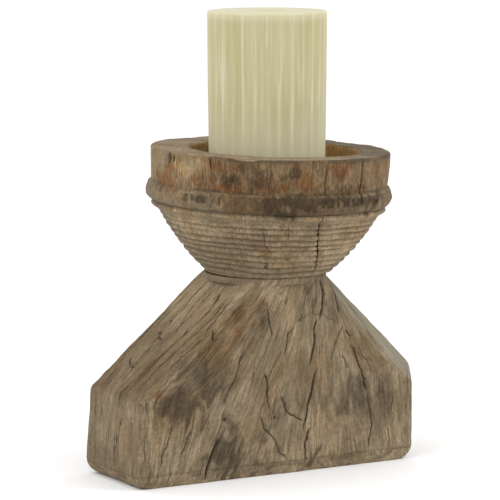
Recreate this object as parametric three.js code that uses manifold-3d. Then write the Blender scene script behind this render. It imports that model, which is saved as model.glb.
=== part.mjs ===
// Wooden candlestick: a flared base block, a turned bowl held on it by a hidden dowel, and a
// ribbed pillar candle that stands loose in the bowl.
//
// Millimetres, +Z up. The origin is the centre of the base's underside, X runs along the base's
// length and Y through its thickness, with the front face towards -Y.

import * as THREE from 'three';
import { ConvexGeometry } from 'three/addons/geometries/ConvexGeometry.js';
import { mergeVertices } from 'three/addons/utils/BufferGeometryUtils.js';
import Module from 'manifold-3d';

const wasm = await Module();
wasm.setup();

// Base block
const BASE_HALF_LENGTH = 102.6;
const BASE_HALF_DEPTH = 35;
const LEFT_SHOULDER_X = -99.2; // the left end leans out towards the foot
const LEFT_SHOULDER_HEIGHT = 56.6;
const RIGHT_SHOULDER_HEIGHT = 64;
const LEFT_FOOT_ROUND = 9;
const RIGHT_FOOT_ROUND = 9;
const FOOT_BEVEL_HEIGHT = 8;
const FOOT_BEVEL_DEPTH = 2.2;
const END_EDGE_ROUND = 3.5; // the four upright edges

// Neck, where the bowl's underside meets the base
const NECK = new THREE.Vector3(10.8, 0, 126.7);
const NECK_RADIUS = 40.5;
const SHOULDER_TOP_HALF = 26.5; // half the slab's length where the shoulders reach the neck
const CORNER_FLARE = 1.1; // how fast the cone that rounds the slab's top corners widens
const COLLAR_RADIUS = 39.6;
const COLLAR_HEIGHT = 4;
const COLLAR_BLEND = 9; // height of the cone that carries the collar out of the slab
const COLLAR_ROOT_RADIUS = 34; // where that cone starts, inside the slab

// Worn bevels on the shoulders' long edges, each as its height down the face and its depth
const WORN_BEVEL_OUTER = { tall: 13, deep: 5 };
const WORN_BEVEL_INNER = { tall: 8, deep: 3.5 };
const EASED_EDGE = { tall: 4, deep: 2.5 };

// Bowl, measured along its own axis from the neck
const BOWL_LEAN = THREE.MathUtils.degToRad(1.88);
const LEAN_DIRECTION = new THREE.Vector2(0.864, -0.503);
const BOWL_FOOT_RADIUS = 39.5;
const BOWL_UNDERCUT = 0.5; // how much the bowl narrows below its foot's edge
const TURNED_HEIGHT = 39;
const TURNED_TOP_RADIUS = 71;
const TURNED_BELLY = new THREE.Vector2(60.65, 19.5);
const TURNED_RINGS = 10;
const RING_RELIEF = 0.45;
const RING_CREST = 0.35; // where a ring's crest and groove lie, as shares of its width
const RING_GROOVE = 0.9;
const SMALL_BEAD = { low: 40.4, high: 45, radius: 75.6, lowCrease: 72.5, highCrease: 74.5, steps: 3 };
const LARGE_BEAD = { low: 45, high: 59, radius: 79.5, lowCrease: 74.6, highCrease: 77, steps: 5 };
const RIM_RADIUS = 77.8;
const RIM_HEIGHT = 79.4;
const RIM_ROUND = 1.6;

// Hollow in the bowl
const HOLLOW_MOUTH_RADIUS = 54.5;
const HOLLOW_FLOOR_RADIUS = 49;
const HOLLOW_SHIFT = 3.5; // towards the lean
const HOLLOW_FLOOR = 169; // height of the level floor above the ground
const MOUTH_ROUND = 1.5;

// Dowel
const DOWEL_RADIUS = 12;
const DOWEL_HALF_LENGTH = 27;
const DOWEL_CHAMFER = 1.5;

// Candle, its wick and its wick clip
const CANDLE_RADIUS = 38;
const CANDLE_HEIGHT = 125;
const CANDLE_SHIFT = 1.2; // towards the lean, from the neck's centre
const CANDLE_RIBS = 30;
const RIB_DEPTH = 0.8;
const FLUTE_SHAPE = [[0, 0], [0.25, 0.8], [0.5, 1], [0.75, 0.8]]; // shares of its width and depth
const PLAIN_TOP = 2.6; // band above the ribs
const PLAIN_TOP_OVERLAP = 1; // how far its lower edge runs down into the ribs
const TOP_ROUND = 1;
const DIMPLE_RADIUS = 9;
const DIMPLE_DEPTH = 8;
const DIMPLE_FLOOR_RADIUS = 4.5;
const DIMPLE_FLOOR_DISH = 1;
const WICK_RADIUS = 1.3;
const WICK_BELOW_TOP = 1;
const CLIP_RADIUS = 10;
const CLIP_SHEET = 0.8;
const CLIP_NECK_RADIUS = 2.4;
const CLIP_NECK_HEIGHT = 7;
const CLIP_RECESS = 1.8;

// Fits and facets
const GAP = 0.3;
const OVERCUT = 5; // how far a cutter runs past the face that it opens
const BOWL_SIDES = 48;
const BORE_SIDES = 24;
const SMALL_SIDES = 12;
const FOOT_ARC_SEGMENTS = 6;
const EDGE_ARC_SEGMENTS = 3;

const materials = {
  agedWood: { color: 0x85725a, roughness: 0.85, metalness: 0 },
  agedBowlWood: { color: 0x8a7860, roughness: 0.85, metalness: 0 },
  dowelWood: { color: 0xc9ab7c, roughness: 0.7, metalness: 0 },
  wax: { color: 0xdcd7b4, roughness: 0.45, metalness: 0 },
  cotton: { color: 0xe9e3d2, roughness: 0.95, metalness: 0 },
  tinplate: { color: 0xb9bbbd, roughness: 0.4, metalness: 0.9 },
};

// ---- Solids ----------------------------------------------------------------------------------

// A closed manifold solid from a three.js geometry, with slivers at a lathe's poles left out.
function solid(geometry) {
  const bare = geometry.clone();
  bare.deleteAttribute('normal');
  bare.deleteAttribute('uv');
  const merged = mergeVertices(bare);
  const corners = Array.from(merged.index.array);
  const triVerts = [];
  for (let i = 0; i < corners.length; i += 3) {
    const [a, b, c] = corners.slice(i, i + 3);
    if (a !== b && b !== c && c !== a) triVerts.push(a, b, c);
  }
  return new wasm.Manifold(new wasm.Mesh({
    numProp: 3,
    vertProperties: Float32Array.from(merged.attributes.position.array),
    triVerts: Uint32Array.from(triVerts),
  }));
}

function geometryOf(body) {
  const mesh = body.getMesh();
  const geometry = new THREE.BufferGeometry();
  geometry.setAttribute('position', new THREE.BufferAttribute(mesh.vertProperties, 3));
  geometry.setIndex(new THREE.BufferAttribute(mesh.triVerts, 1));
  geometry.computeVertexNormals();
  return geometry;
}

// A solid turned about Z from an outline of [radius, height] points that starts and ends on
// the axis, lowest point first.
function turned(outline, sides) {
  const points = outline.map(([radius, height]) => new THREE.Vector2(radius, height));
  return new THREE.LatheGeometry(points, sides).rotateX(Math.PI / 2);
}

function cylinder(radius, low, high, sides) {
  return turned([[0, low], [radius, low], [radius, high], [0, high]], sides);
}

function part(name, body, material, position = new THREE.Vector3()) {
  const mesh = new THREE.Mesh(geometryOf(body), new THREE.MeshStandardMaterial(material));
  mesh.name = name;
  mesh.position.copy(position);
  return mesh;
}

// ---- Base block ------------------------------------------------------------------------------

// Front outline: a foot with round corners, upright ends and shoulders that climb to the neck.
function frontOutline() {
  const outline = new THREE.Shape();
  outline.moveTo(-BASE_HALF_LENGTH + LEFT_FOOT_ROUND, 0);
  outline.lineTo(BASE_HALF_LENGTH - RIGHT_FOOT_ROUND, 0);
  outline.absarc(
    BASE_HALF_LENGTH - RIGHT_FOOT_ROUND, RIGHT_FOOT_ROUND, RIGHT_FOOT_ROUND, -Math.PI / 2, 0);
  outline.lineTo(BASE_HALF_LENGTH, RIGHT_SHOULDER_HEIGHT);
  outline.lineTo(NECK.x + SHOULDER_TOP_HALF, NECK.z);
  outline.lineTo(NECK.x - SHOULDER_TOP_HALF, NECK.z);
  outline.lineTo(LEFT_SHOULDER_X, LEFT_SHOULDER_HEIGHT);
  outline.lineTo(-BASE_HALF_LENGTH, LEFT_FOOT_ROUND);
  outline.absarc(
    -BASE_HALF_LENGTH + LEFT_FOOT_ROUND, LEFT_FOOT_ROUND, LEFT_FOOT_ROUND, Math.PI, 1.5 * Math.PI);
  return outline;
}

function slab() {
  const geometry = new THREE.ExtrudeGeometry(frontOutline(), {
    depth: 2 * BASE_HALF_DEPTH, bevelEnabled: false, curveSegments: FOOT_ARC_SEGMENTS,
  });
  return solid(geometry.translate(0, 0, -BASE_HALF_DEPTH).rotateX(Math.PI / 2));
}

// Plan view of the slab with its upright edges rounded, drawn in by the foot's bevel.
function planOutline() {
  const x = BASE_HALF_LENGTH - FOOT_BEVEL_DEPTH;
  const y = BASE_HALF_DEPTH - FOOT_BEVEL_DEPTH;
  const r = END_EDGE_ROUND - FOOT_BEVEL_DEPTH;
  const plan = new THREE.Shape();
  plan.absarc(x - r, y - r, r, 0, 0.5 * Math.PI);
  plan.absarc(-x + r, y - r, r, 0.5 * Math.PI, Math.PI);
  plan.absarc(-x + r, -y + r, r, Math.PI, 1.5 * Math.PI);
  plan.absarc(x - r, -y + r, r, 1.5 * Math.PI, 2 * Math.PI);
  return plan;
}

// Upright prism of the plan whose lowest stretch is the foot's bevel.
function bevelledFoot() {
  const geometry = new THREE.ExtrudeGeometry(planOutline(), {
    depth: NECK.z,
    bevelEnabled: true,
    bevelThickness: FOOT_BEVEL_HEIGHT,
    bevelSize: FOOT_BEVEL_DEPTH,
    bevelSegments: 1,
    curveSegments: EDGE_ARC_SEGMENTS,
  });
  return solid(geometry.translate(0, 0, FOOT_BEVEL_HEIGHT));
}

// Wedge that takes a bevel off the long edge between a face and a shoulder. side is -1 on the
// front face and 1 on the back; each end is a point of the edge with its bevel's size there.
function edgeWedge(side, ends) {
  const corners = ends.flatMap(({ x, z, tall, deep }) => {
    const onFace = new THREE.Vector3(x, side * BASE_HALF_DEPTH, z - tall);
    const onShoulder = new THREE.Vector3(x, side * (BASE_HALF_DEPTH - deep), z);
    const along = onShoulder.clone().sub(onFace);
    const outside = new THREE.Vector3(x, side * (BASE_HALF_DEPTH + deep), z + tall);
    return [onFace.clone().sub(along), onShoulder.clone().add(along), outside];
  });
  return solid(new ConvexGeometry(corners));
}

// A point on a shoulder's line, run past the end of the shoulder by the overcut.
function shoulderEnds(shoulderX, shoulderZ, outerBevel, innerBevel) {
  const outer = new THREE.Vector2(shoulderX, shoulderZ);
  const inner = new THREE.Vector2(NECK.x + Math.sign(shoulderX) * SHOULDER_TOP_HALF, NECK.z);
  const past = outer.clone().sub(inner).setLength(OVERCUT);
  outer.add(past);
  inner.sub(past);
  return [
    { x: outer.x, z: outer.y, ...outerBevel },
    { x: inner.x, z: inner.y, ...innerBevel },
  ];
}

// Upright cone, widest at the foot, that rounds the slab's top corners off to the neck.
function cornerCone() {
  const outline = [
    [0, -OVERCUT],
    [NECK_RADIUS + CORNER_FLARE * (NECK.z + OVERCUT), -OVERCUT],
    [NECK_RADIUS, NECK.z],
    [0, NECK.z],
  ];
  return solid(turned(outline, BOWL_SIDES)).translate([NECK.x, NECK.y, 0]);
}

// Round collar under the bowl, carried out of the slab by a short cone.
function collar() {
  const low = NECK.z - COLLAR_HEIGHT;
  const outline = [
    [0, low - COLLAR_BLEND],
    [COLLAR_ROOT_RADIUS, low - COLLAR_BLEND],
    [COLLAR_RADIUS, low],
    [COLLAR_RADIUS, NECK.z],
    [0, NECK.z],
  ];
  return solid(turned(outline, BOWL_SIDES)).translate([NECK.x, NECK.y, 0]);
}

function baseBlock() {
  const right = shoulderEnds(
    BASE_HALF_LENGTH, RIGHT_SHOULDER_HEIGHT, WORN_BEVEL_OUTER, WORN_BEVEL_INNER);
  const rightBack = shoulderEnds(
    BASE_HALF_LENGTH, RIGHT_SHOULDER_HEIGHT, EASED_EDGE, EASED_EDGE);
  const left = shoulderEnds(LEFT_SHOULDER_X, LEFT_SHOULDER_HEIGHT, EASED_EDGE, EASED_EDGE);
  return slab()
    .intersect(bevelledFoot())
    .intersect(cornerCone())
    .subtract(edgeWedge(-1, right))
    .subtract(edgeWedge(1, rightBack))
    .subtract(edgeWedge(-1, left))
    .subtract(edgeWedge(1, left))
    .add(collar())
    .subtract(dowelBore());
}

// ---- Bowl ------------------------------------------------------------------------------------

// Turned rings: a crest and a groove for each ring, along the curve of the bowl's belly.
function turnedRings() {
  const belly = new THREE.QuadraticBezierCurve(
    new THREE.Vector2(BOWL_FOOT_RADIUS, 0),
    TURNED_BELLY,
    new THREE.Vector2(TURNED_TOP_RADIUS, TURNED_HEIGHT));
  const points = [];
  for (let ring = 0; ring < TURNED_RINGS; ring += 1) {
    const crest = belly.getPoint((ring + RING_CREST) / TURNED_RINGS);
    const groove = belly.getPoint((ring + RING_GROOVE) / TURNED_RINGS);
    points.push([crest.x + RING_RELIEF, crest.y], [groove.x - RING_RELIEF, groove.y]);
  }
  return points;
}

// Half-round bead as outline points from its lower to its upper crease.
function bead({ low, high, radius, lowCrease, highCrease, steps }) {
  const points = [];
  for (let i = 0; i <= steps; i += 1) {
    const t = i / steps;
    const crease = THREE.MathUtils.lerp(lowCrease, highCrease, t);
    const swell = Math.sin(Math.PI * t);
    points.push([crease + (radius - crease) * swell, THREE.MathUtils.lerp(low, high, t)]);
  }
  return points;
}

function bowlOutline() {
  return [
    [0, -OVERCUT],
    [BOWL_FOOT_RADIUS - BOWL_UNDERCUT, -OVERCUT],
    ...turnedRings(),
    ...bead(SMALL_BEAD),
    ...bead(LARGE_BEAD).slice(1),
    [RIM_RADIUS, RIM_HEIGHT - RIM_ROUND],
    [RIM_RADIUS - RIM_ROUND, RIM_HEIGHT],
    [0, RIM_HEIGHT],
  ];
}

// Leans a solid over from the neck, as the bowl leans.
function lean(body) {
  const axis = new THREE.Vector3(-LEAN_DIRECTION.y, LEAN_DIRECTION.x, 0).normalize();
  const turn = new THREE.Matrix4().makeRotationAxis(axis, BOWL_LEAN);
  turn.setPosition(NECK);
  return body.transform(turn.elements);
}

// Tapered hollow, leaning with the bowl and cut off by its level floor.
function hollow() {
  const floor = HOLLOW_FLOOR - NECK.z;
  const outline = [
    [0, floor - OVERCUT],
    [HOLLOW_FLOOR_RADIUS, floor - OVERCUT],
    [HOLLOW_FLOOR_RADIUS, floor],
    [HOLLOW_MOUTH_RADIUS, RIM_HEIGHT - MOUTH_ROUND],
    [HOLLOW_MOUTH_RADIUS + MOUTH_ROUND, RIM_HEIGHT],
    [HOLLOW_MOUTH_RADIUS + MOUTH_ROUND, RIM_HEIGHT + OVERCUT],
    [0, RIM_HEIGHT + OVERCUT],
  ];
  const shift = LEAN_DIRECTION.clone().setLength(HOLLOW_SHIFT);
  const tapered = solid(turned(outline, BOWL_SIDES)).translate([shift.x, shift.y, 0]);
  return lean(tapered).intersect(levelSlice(HOLLOW_FLOOR, HOLLOW_FLOOR + RIM_HEIGHT));
}

// A wide level slice round the neck, from one height to another.
function levelSlice(low, high) {
  const width = 4 * RIM_RADIUS;
  const box = new THREE.BoxGeometry(width, width, high - low);
  return solid(box.translate(NECK.x, NECK.y, (low + high) / 2));
}

function bowl() {
  return lean(solid(turned(bowlOutline(), BOWL_SIDES)))
    .intersect(levelSlice(NECK.z + GAP, NECK.z + 2 * RIM_HEIGHT))
    .subtract(hollow())
    .subtract(dowelBore());
}

// ---- Dowel -----------------------------------------------------------------------------------

// Blind bores in the base and in the bowl, cut together as one plain hole.
function dowelBore() {
  const reach = DOWEL_HALF_LENGTH + GAP;
  const hole = cylinder(DOWEL_RADIUS + GAP, NECK.z - reach, NECK.z + reach, BORE_SIDES);
  return solid(hole).translate([NECK.x, NECK.y, 0]);
}

function neckDowel() {
  return solid(turned([
    [0, -DOWEL_HALF_LENGTH],
    [DOWEL_RADIUS - DOWEL_CHAMFER, -DOWEL_HALF_LENGTH],
    [DOWEL_RADIUS, -DOWEL_HALF_LENGTH + DOWEL_CHAMFER],
    [DOWEL_RADIUS, DOWEL_HALF_LENGTH - DOWEL_CHAMFER],
    [DOWEL_RADIUS - DOWEL_CHAMFER, DOWEL_HALF_LENGTH],
    [0, DOWEL_HALF_LENGTH],
  ], BORE_SIDES));
}

// ---- Candle, with its foot at height 0 -------------------------------------------------------

// Candle's section: shallow round flutes between narrow ribs.
function ribbedSection() {
  const flute = (2 * Math.PI) / CANDLE_RIBS;
  const points = [];
  for (let rib = 0; rib < CANDLE_RIBS; rib += 1) {
    for (const [along, depth] of FLUTE_SHAPE) {
      const radius = CANDLE_RADIUS - RIB_DEPTH * depth;
      const angle = (rib + along) * flute;
      points.push(new THREE.Vector2(radius * Math.cos(angle), radius * Math.sin(angle)));
    }
  }
  return new THREE.Shape(points);
}

function plainTop() {
  const radius = CANDLE_RADIUS - RIB_DEPTH / 2;
  const low = CANDLE_HEIGHT - PLAIN_TOP;
  return solid(turned([
    [0, low - PLAIN_TOP_OVERLAP],
    [radius - RIB_DEPTH, low - PLAIN_TOP_OVERLAP],
    [radius, low],
    [radius, CANDLE_HEIGHT - TOP_ROUND],
    [radius - TOP_ROUND, CANDLE_HEIGHT],
    [0, CANDLE_HEIGHT],
  ], 2 * CANDLE_RIBS));
}

// Everything that the wick and its clip need: recess, neck hole, bore and the top's dimple.
function wickPassage() {
  const neckTop = CLIP_RECESS + CLIP_NECK_HEIGHT + GAP;
  const dimple = CANDLE_HEIGHT - DIMPLE_DEPTH;
  return solid(turned([
    [0, -OVERCUT],
    [CLIP_RADIUS + GAP, -OVERCUT],
    [CLIP_RADIUS + GAP, CLIP_RECESS + GAP],
    [CLIP_NECK_RADIUS + GAP, CLIP_RECESS + GAP],
    [CLIP_NECK_RADIUS + GAP, neckTop],
    [WICK_RADIUS + GAP, neckTop],
    [WICK_RADIUS + GAP, dimple],
    [DIMPLE_FLOOR_RADIUS, dimple + DIMPLE_FLOOR_DISH],
    [DIMPLE_RADIUS, CANDLE_HEIGHT],
    [DIMPLE_RADIUS, CANDLE_HEIGHT + OVERCUT],
    [0, CANDLE_HEIGHT + OVERCUT],
  ], BORE_SIDES));
}

function candle() {
  const ribbed = new THREE.ExtrudeGeometry(ribbedSection(), {
    depth: CANDLE_HEIGHT - PLAIN_TOP, bevelEnabled: false,
  });
  return solid(ribbed).add(plainTop()).subtract(wickPassage());
}

function wick() {
  return solid(cylinder(
    WICK_RADIUS, CLIP_RECESS - CLIP_SHEET, CANDLE_HEIGHT - WICK_BELOW_TOP, SMALL_SIDES));
}

// Disc with a short tubular neck that stands round the wick.
function wickClip() {
  const inner = WICK_RADIUS + GAP;
  const low = CLIP_RECESS - CLIP_SHEET;
  const blank = turned([
    [0, low],
    [CLIP_RADIUS, low],
    [CLIP_RADIUS, CLIP_RECESS],
    [CLIP_NECK_RADIUS, CLIP_RECESS],
    [CLIP_NECK_RADIUS, CLIP_RECESS + CLIP_NECK_HEIGHT],
    [0, CLIP_RECESS + CLIP_NECK_HEIGHT],
  ], BORE_SIDES);
  const hole = cylinder(inner, -OVERCUT, CLIP_NECK_HEIGHT + OVERCUT, SMALL_SIDES);
  return solid(blank).subtract(solid(hole));
}

// ---- Assembly --------------------------------------------------------------------------------

const candlestick = new THREE.Group();
candlestick.add(part('base_block', baseBlock(), materials.agedWood));
candlestick.add(part('neck_dowel', neckDowel(), materials.dowelWood, NECK));
candlestick.add(part('bowl', bowl(), materials.agedBowlWood));

const looseCandle = new THREE.Group();
const candlePlace = LEAN_DIRECTION.clone().setLength(CANDLE_SHIFT);
looseCandle.position.set(NECK.x + candlePlace.x, NECK.y + candlePlace.y, HOLLOW_FLOOR + GAP);
looseCandle.add(part('candle', candle(), materials.wax));
looseCandle.add(part('wick', wick(), materials.cotton));
looseCandle.add(part('wick_clip', wickClip(), materials.tinplate));
candlestick.add(looseCandle);

export default candlestick;
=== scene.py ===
# Wooden candlestick: a weathered base block, a turned bowl and a ribbed pillar candle.
import itertools
import math

import bpy
import numpy as np
from mathutils import Matrix, Vector


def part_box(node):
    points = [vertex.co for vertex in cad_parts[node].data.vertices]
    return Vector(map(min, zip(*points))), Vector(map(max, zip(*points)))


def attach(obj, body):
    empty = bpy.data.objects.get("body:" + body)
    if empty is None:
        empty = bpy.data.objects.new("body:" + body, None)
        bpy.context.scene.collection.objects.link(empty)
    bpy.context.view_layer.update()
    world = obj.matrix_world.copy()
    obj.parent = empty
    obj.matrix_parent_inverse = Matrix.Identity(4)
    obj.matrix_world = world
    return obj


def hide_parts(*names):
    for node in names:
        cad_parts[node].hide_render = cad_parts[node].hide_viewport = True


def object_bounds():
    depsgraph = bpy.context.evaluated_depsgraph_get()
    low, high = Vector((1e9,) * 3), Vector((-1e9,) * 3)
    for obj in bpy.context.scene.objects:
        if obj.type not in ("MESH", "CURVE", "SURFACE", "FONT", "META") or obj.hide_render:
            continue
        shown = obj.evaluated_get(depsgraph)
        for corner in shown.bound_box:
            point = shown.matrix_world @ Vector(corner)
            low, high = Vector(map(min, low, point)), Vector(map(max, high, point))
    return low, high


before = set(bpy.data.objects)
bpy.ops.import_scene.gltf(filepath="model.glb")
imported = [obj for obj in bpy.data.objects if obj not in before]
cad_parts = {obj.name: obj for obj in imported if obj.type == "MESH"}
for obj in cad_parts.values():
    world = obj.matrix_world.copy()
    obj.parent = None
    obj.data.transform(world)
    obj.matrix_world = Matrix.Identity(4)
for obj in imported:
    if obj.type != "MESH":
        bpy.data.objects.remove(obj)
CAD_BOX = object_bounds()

# Shapes are worked out in millimetres, and MM turns them into metres.
MM = 0.001


def box_mm(node):
    """Lowest and highest corner of a node, in millimetres."""
    return [np.array(corner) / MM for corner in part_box(node)]


BASE_LOW, BASE_HIGH = box_mm("base_block")
CANDLE_LOW, CANDLE_HIGH = box_mm("candle")
WICK_LOW, WICK_HIGH = box_mm("wick")
CLIP_LOW, CLIP_HIGH = box_mm("wick_clip")
DOWEL_LOW, DOWEL_HIGH = box_mm("neck_dowel")
# Room left between pieces that touch
GAP = 0.3

# Where the bowl's underside meets the base
NECK = (DOWEL_LOW + DOWEL_HIGH) / 2
BORE_RADIUS = (DOWEL_HIGH[0] - DOWEL_LOW[0]) / 2 + GAP

# Base block
HALF_DEPTH = 35.0
LEFT_SHOULDER = (-99.2, 56.6)
RIGHT_SHOULDER = (BASE_HIGH[0], 64.0)
SHOULDER_TOP_HALF = 26.5
LEFT_FOOT_ROUND = 9.0
RIGHT_FOOT_ROUND = 9.0
FOOT_BEVEL_HEIGHT = 8.0
FOOT_BEVEL_DEPTH = 2.2
NECK_RADIUS = 40.5
CORNER_FLARE = 1.1
COLLAR_RADIUS = 39.6
COLLAR_HEIGHT = 4.0
COLLAR_BLEND = 3.0
COLLAR_FILLET = 2.4

# Bowl, along its own leaning axis
LEAN = math.radians(1.88)
LEAN_DIRECTION = np.array([0.864, -0.503])
BELLY_FOOT = (39.8, 0.0)
BELLY_PULL = (60.65, 19.5)
BELLY_TOP = (71.0, 39.0)
SMALL_BEAD = (40.4, 45.0, 75.6)
LARGE_BEAD = (45.0, 58.0, 79.2)
BAND_FOOT_RADIUS = 76.3
RIM_RADIUS = 77.1
OUTSIDE_SHIFT = 0.8
RIM_HEIGHT = 79.4
RIM_EASE = 1.3
HOLLOW_MOUTH = 54.5
HOLLOW_FLOOR_RADIUS = 49.0
HOLLOW_SHIFT = 3.5
HOLLOW_FLOOR = CANDLE_LOW[2] - GAP

# Candle
CANDLE_RADIUS = (CANDLE_HIGH[0] - CANDLE_LOW[0]) / 2
CANDLE_HEIGHT = CANDLE_HIGH[2] - CANDLE_LOW[2]
DIMPLE_RADIUS = 9.0
DIMPLE_DEPTH = 8.0


# ---- Numbers ----------------------------------------------------------------------------------

class Noise:
    """Smooth noise between -1 and 1, read from a seeded lattice that repeats."""

    SIDE = 32

    def __init__(self, seed):
        self.lattice = np.random.default_rng(seed).uniform(-1, 1, (self.SIDE,) * 3)

    def __call__(self, points, size):
        """The noise at points, with lattice points this far apart along each axis."""
        scaled = points / np.asarray(size, float)
        cell = np.floor(scaled).astype(int)
        part = scaled - cell
        part = part * part * (3 - 2 * part)
        total = np.zeros(points.shape[:-1])
        for corner in itertools.product((0, 1), repeat=3):
            share = np.where(corner, part, 1 - part).prod(axis=-1)
            place = (cell + corner) % self.SIDE
            total += share * self.lattice[place[..., 0], place[..., 1], place[..., 2]]
        return total


def smooth_step(low, high, value):
    part = np.clip((value - low) / (high - low), 0, 1)
    return part * part * (3 - 2 * part)


def soft_max(a, b, ease):
    """The larger of two distances, with the corner between them rounded."""
    share = np.clip(0.5 + 0.5 * (a - b) / ease, 0, 1)
    return b + (a - b) * share + ease * share * (1 - share)


def zone(value, rise, fall):
    """1 between a rise and a fall, which are each where they start and where they end."""
    return smooth_step(*rise, value) * smooth_step(*fall, value)


def sway(noise, points, size, step):
    """Two unlike noises at points, to shift flat points by."""
    return np.stack([noise(points, size), noise(points + step, size)], axis=-1)


def ridge(value, middle, half_width):
    """1 along a line at a value, falling away on both sides of it."""
    return np.exp(-((value - middle) / half_width) ** 2)


def line_distance(points, line):
    """Distance of flat points to a line of straight stretches, how far along it they are, and
    the side of it that they are on, as 1 or -1."""
    line = np.array(line, float)
    lengths = np.linalg.norm(np.diff(line, axis=0), axis=1)
    starts = np.concatenate([[0], np.cumsum(lengths)])
    nearest = np.full(len(points), np.inf)
    along = np.zeros(len(points))
    side = np.ones(len(points))
    for start, end, before, length in zip(line[:-1], line[1:], starts, lengths):
        way, off = end - start, points - start
        part = np.clip(off @ way / length ** 2, 0, 1)
        apart = np.linalg.norm(off - part[:, None] * way, axis=1)
        closer = apart < nearest
        nearest = np.where(closer, apart, nearest)
        along = np.where(closer, (before + part * length) / starts[-1], along)
        side = np.where(closer, np.where(off @ (-way[1], way[0]) < 0, -1, 1), side)
    return nearest, along, side


# Heights that scattered cracks are centred between
CRACK_HEIGHTS = (4, 122)


class Cracks:
    """Cracks over a surface. For each point: the depth cut there, which side of the nearest
    crack it lies on and how far off, in half widths, and how strong that crack is there."""

    REACH = 3.0

    def __init__(self, count):
        self.depth = np.zeros(count)
        self.side = np.full(count, self.REACH)
        self.strength = np.zeros(count)

    def add(self, side, strength, deepest, where=1.0):
        depth = where * strength * deepest * np.exp(-side ** 2)
        deeper = depth > self.depth
        near = 1 - smooth_step(0.6 * self.REACH, self.REACH, np.abs(side))
        self.depth = np.where(deeper, depth, self.depth)
        self.side = np.where(deeper, np.clip(side, -self.REACH, self.REACH), self.side)
        self.strength = np.where(deeper, where * strength * near, self.strength)

    def add_lines(self, points, lines, where=1.0):
        """Adds drawn cracks to flat points. Each is its half width, its depth and its line."""
        for half_width, deepest, line in lines:
            apart, along, side = line_distance(points, line)
            taper = np.clip(np.minimum(along, 1 - along) * 8, 0, 1) ** 0.5
            width = half_width * (0.45 + 0.55 * taper)
            self.add(side * apart / width, taper * min(1, 0.35 + 0.4 * deepest), deepest, where)

    def add_fibres(self, across, height, spread, count, seed, where=1.0):
        """Adds small cracks that run along the fibres, scattered over this spread of fibres."""
        random = np.random.default_rng(seed)
        for _ in range(count):
            middle = random.uniform(*spread)
            centre = random.uniform(*CRACK_HEIGHTS)
            half = random.uniform(4, 17)
            drift = random.uniform(-0.12, 0.12)
            deepest = random.uniform(0.2, 0.8)
            half_width = random.uniform(0.3, 0.5)
            ends = np.clip(1.5 - 1.5 * np.abs(height - centre) / half, 0, 1)
            side = (across - middle - drift * (height - centre)) / half_width
            self.add(side, ends * (0.3 + 0.6 * deepest), deepest, where)


def spots(points, places):
    """Soft-edged ovals on flat points. A spot is its centre, its two radii and its strength."""
    total = np.zeros(len(points))
    for (u, v), (wide, tall), strength in places:
        apart = np.hypot((points[:, 0] - u) / wide, (points[:, 1] - v) / tall)
        total = np.maximum(total, strength * (1 - smooth_step(0.35, 1.15, apart)))
    return total


# ---- Meshes -----------------------------------------------------------------------------------

def closed_mesh(name, rows, first_pole=None, last_pole=None):
    """A mesh over rows of points that run anticlockwise seen from above. It closes on a pole
    at each end, or on itself where there are no poles."""
    count, around = rows.shape[:2]
    points = rows.reshape(-1, 3).tolist()
    faces = []
    joined = count - 1 if first_pole is not None else count
    for row in range(joined):
        low = row * around
        high = (row + 1) % count * around
        for column in range(around):
            beside = (column + 1) % around
            faces.append((low + column, low + beside, high + beside, high + column))
    if first_pole is not None:
        points += [list(first_pole), list(last_pole)]
        first, last = count * around, count * around + 1
        top = (count - 1) * around
        for column in range(around):
            beside = (column + 1) % around
            faces.append((first, beside, column))
            faces.append((top + column, top + beside, last))
    mesh = bpy.data.meshes.new(name)
    mesh.from_pydata((np.array(points) * MM).tolist(), [], faces)
    mesh.shade_smooth()
    return mesh


def add_piece(name, content):
    """An object in the scene that shows a mesh, or carries a lamp or a camera."""
    piece = bpy.data.objects.new(name, content)
    bpy.context.scene.collection.objects.link(piece)
    return piece


def store(mesh, name, values):
    """Keeps one number, or one vector, for each point of a mesh. Poles take 0."""
    values = np.asarray(values, np.float32)
    if values.ndim == 1:
        attribute = mesh.attributes.new(name, "FLOAT", "POINT")
        padded = np.zeros(len(mesh.vertices), np.float32)
        padded[:len(values)] = values
        attribute.data.foreach_set("value", padded)
    else:
        attribute = mesh.attributes.new(name, "FLOAT_VECTOR", "POINT")
        padded = np.zeros((len(mesh.vertices), 3), np.float32)
        padded[:len(values)] = values
        attribute.data.foreach_set("vector", padded.ravel())


class Skin:
    """The rows of a mesh whose numbers are worked out point by point."""

    def __init__(self, mesh, rows, shown):
        self.mesh = mesh
        self.shape = rows.shape[:2]
        self.shown = shown

    def store(self, name, values, rest=0.0, part=None, there=0.0):
        """Keeps these numbers for the skin, there for one more part, and the rest elsewhere."""
        table = np.full(self.shape, rest)
        table[self.shown] = values.reshape(table[self.shown].shape)
        if part is not None:
            table[part] = there
        store(self.mesh, name, table.ravel())

    def store_cracks(self, cracks, holes):
        self.store("crack_side", cracks.side)
        self.store("crack_strength", cracks.strength)
        self.store("hole", holes)


# Where closing rings stand between the middle of a flat face and its edge
CLOSING = (0.3, 0.6, 0.85, 0.97)


def rings_between(start, end, parts):
    """Rings on the way from one ring, or a point, to another ring."""
    return [start + (end - start) * part for part in parts]


def row_normals(rows):
    """Outward directions on rows of points."""
    across = np.roll(rows, -1, axis=1) - np.roll(rows, 1, axis=1)
    along = np.gradient(rows, axis=0)
    normals = np.cross(across, along)
    return normals / np.maximum(np.linalg.norm(normals, axis=-1, keepdims=True), 1e-9)


# ---- Nodes ------------------------------------------------------------------------------------

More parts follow.
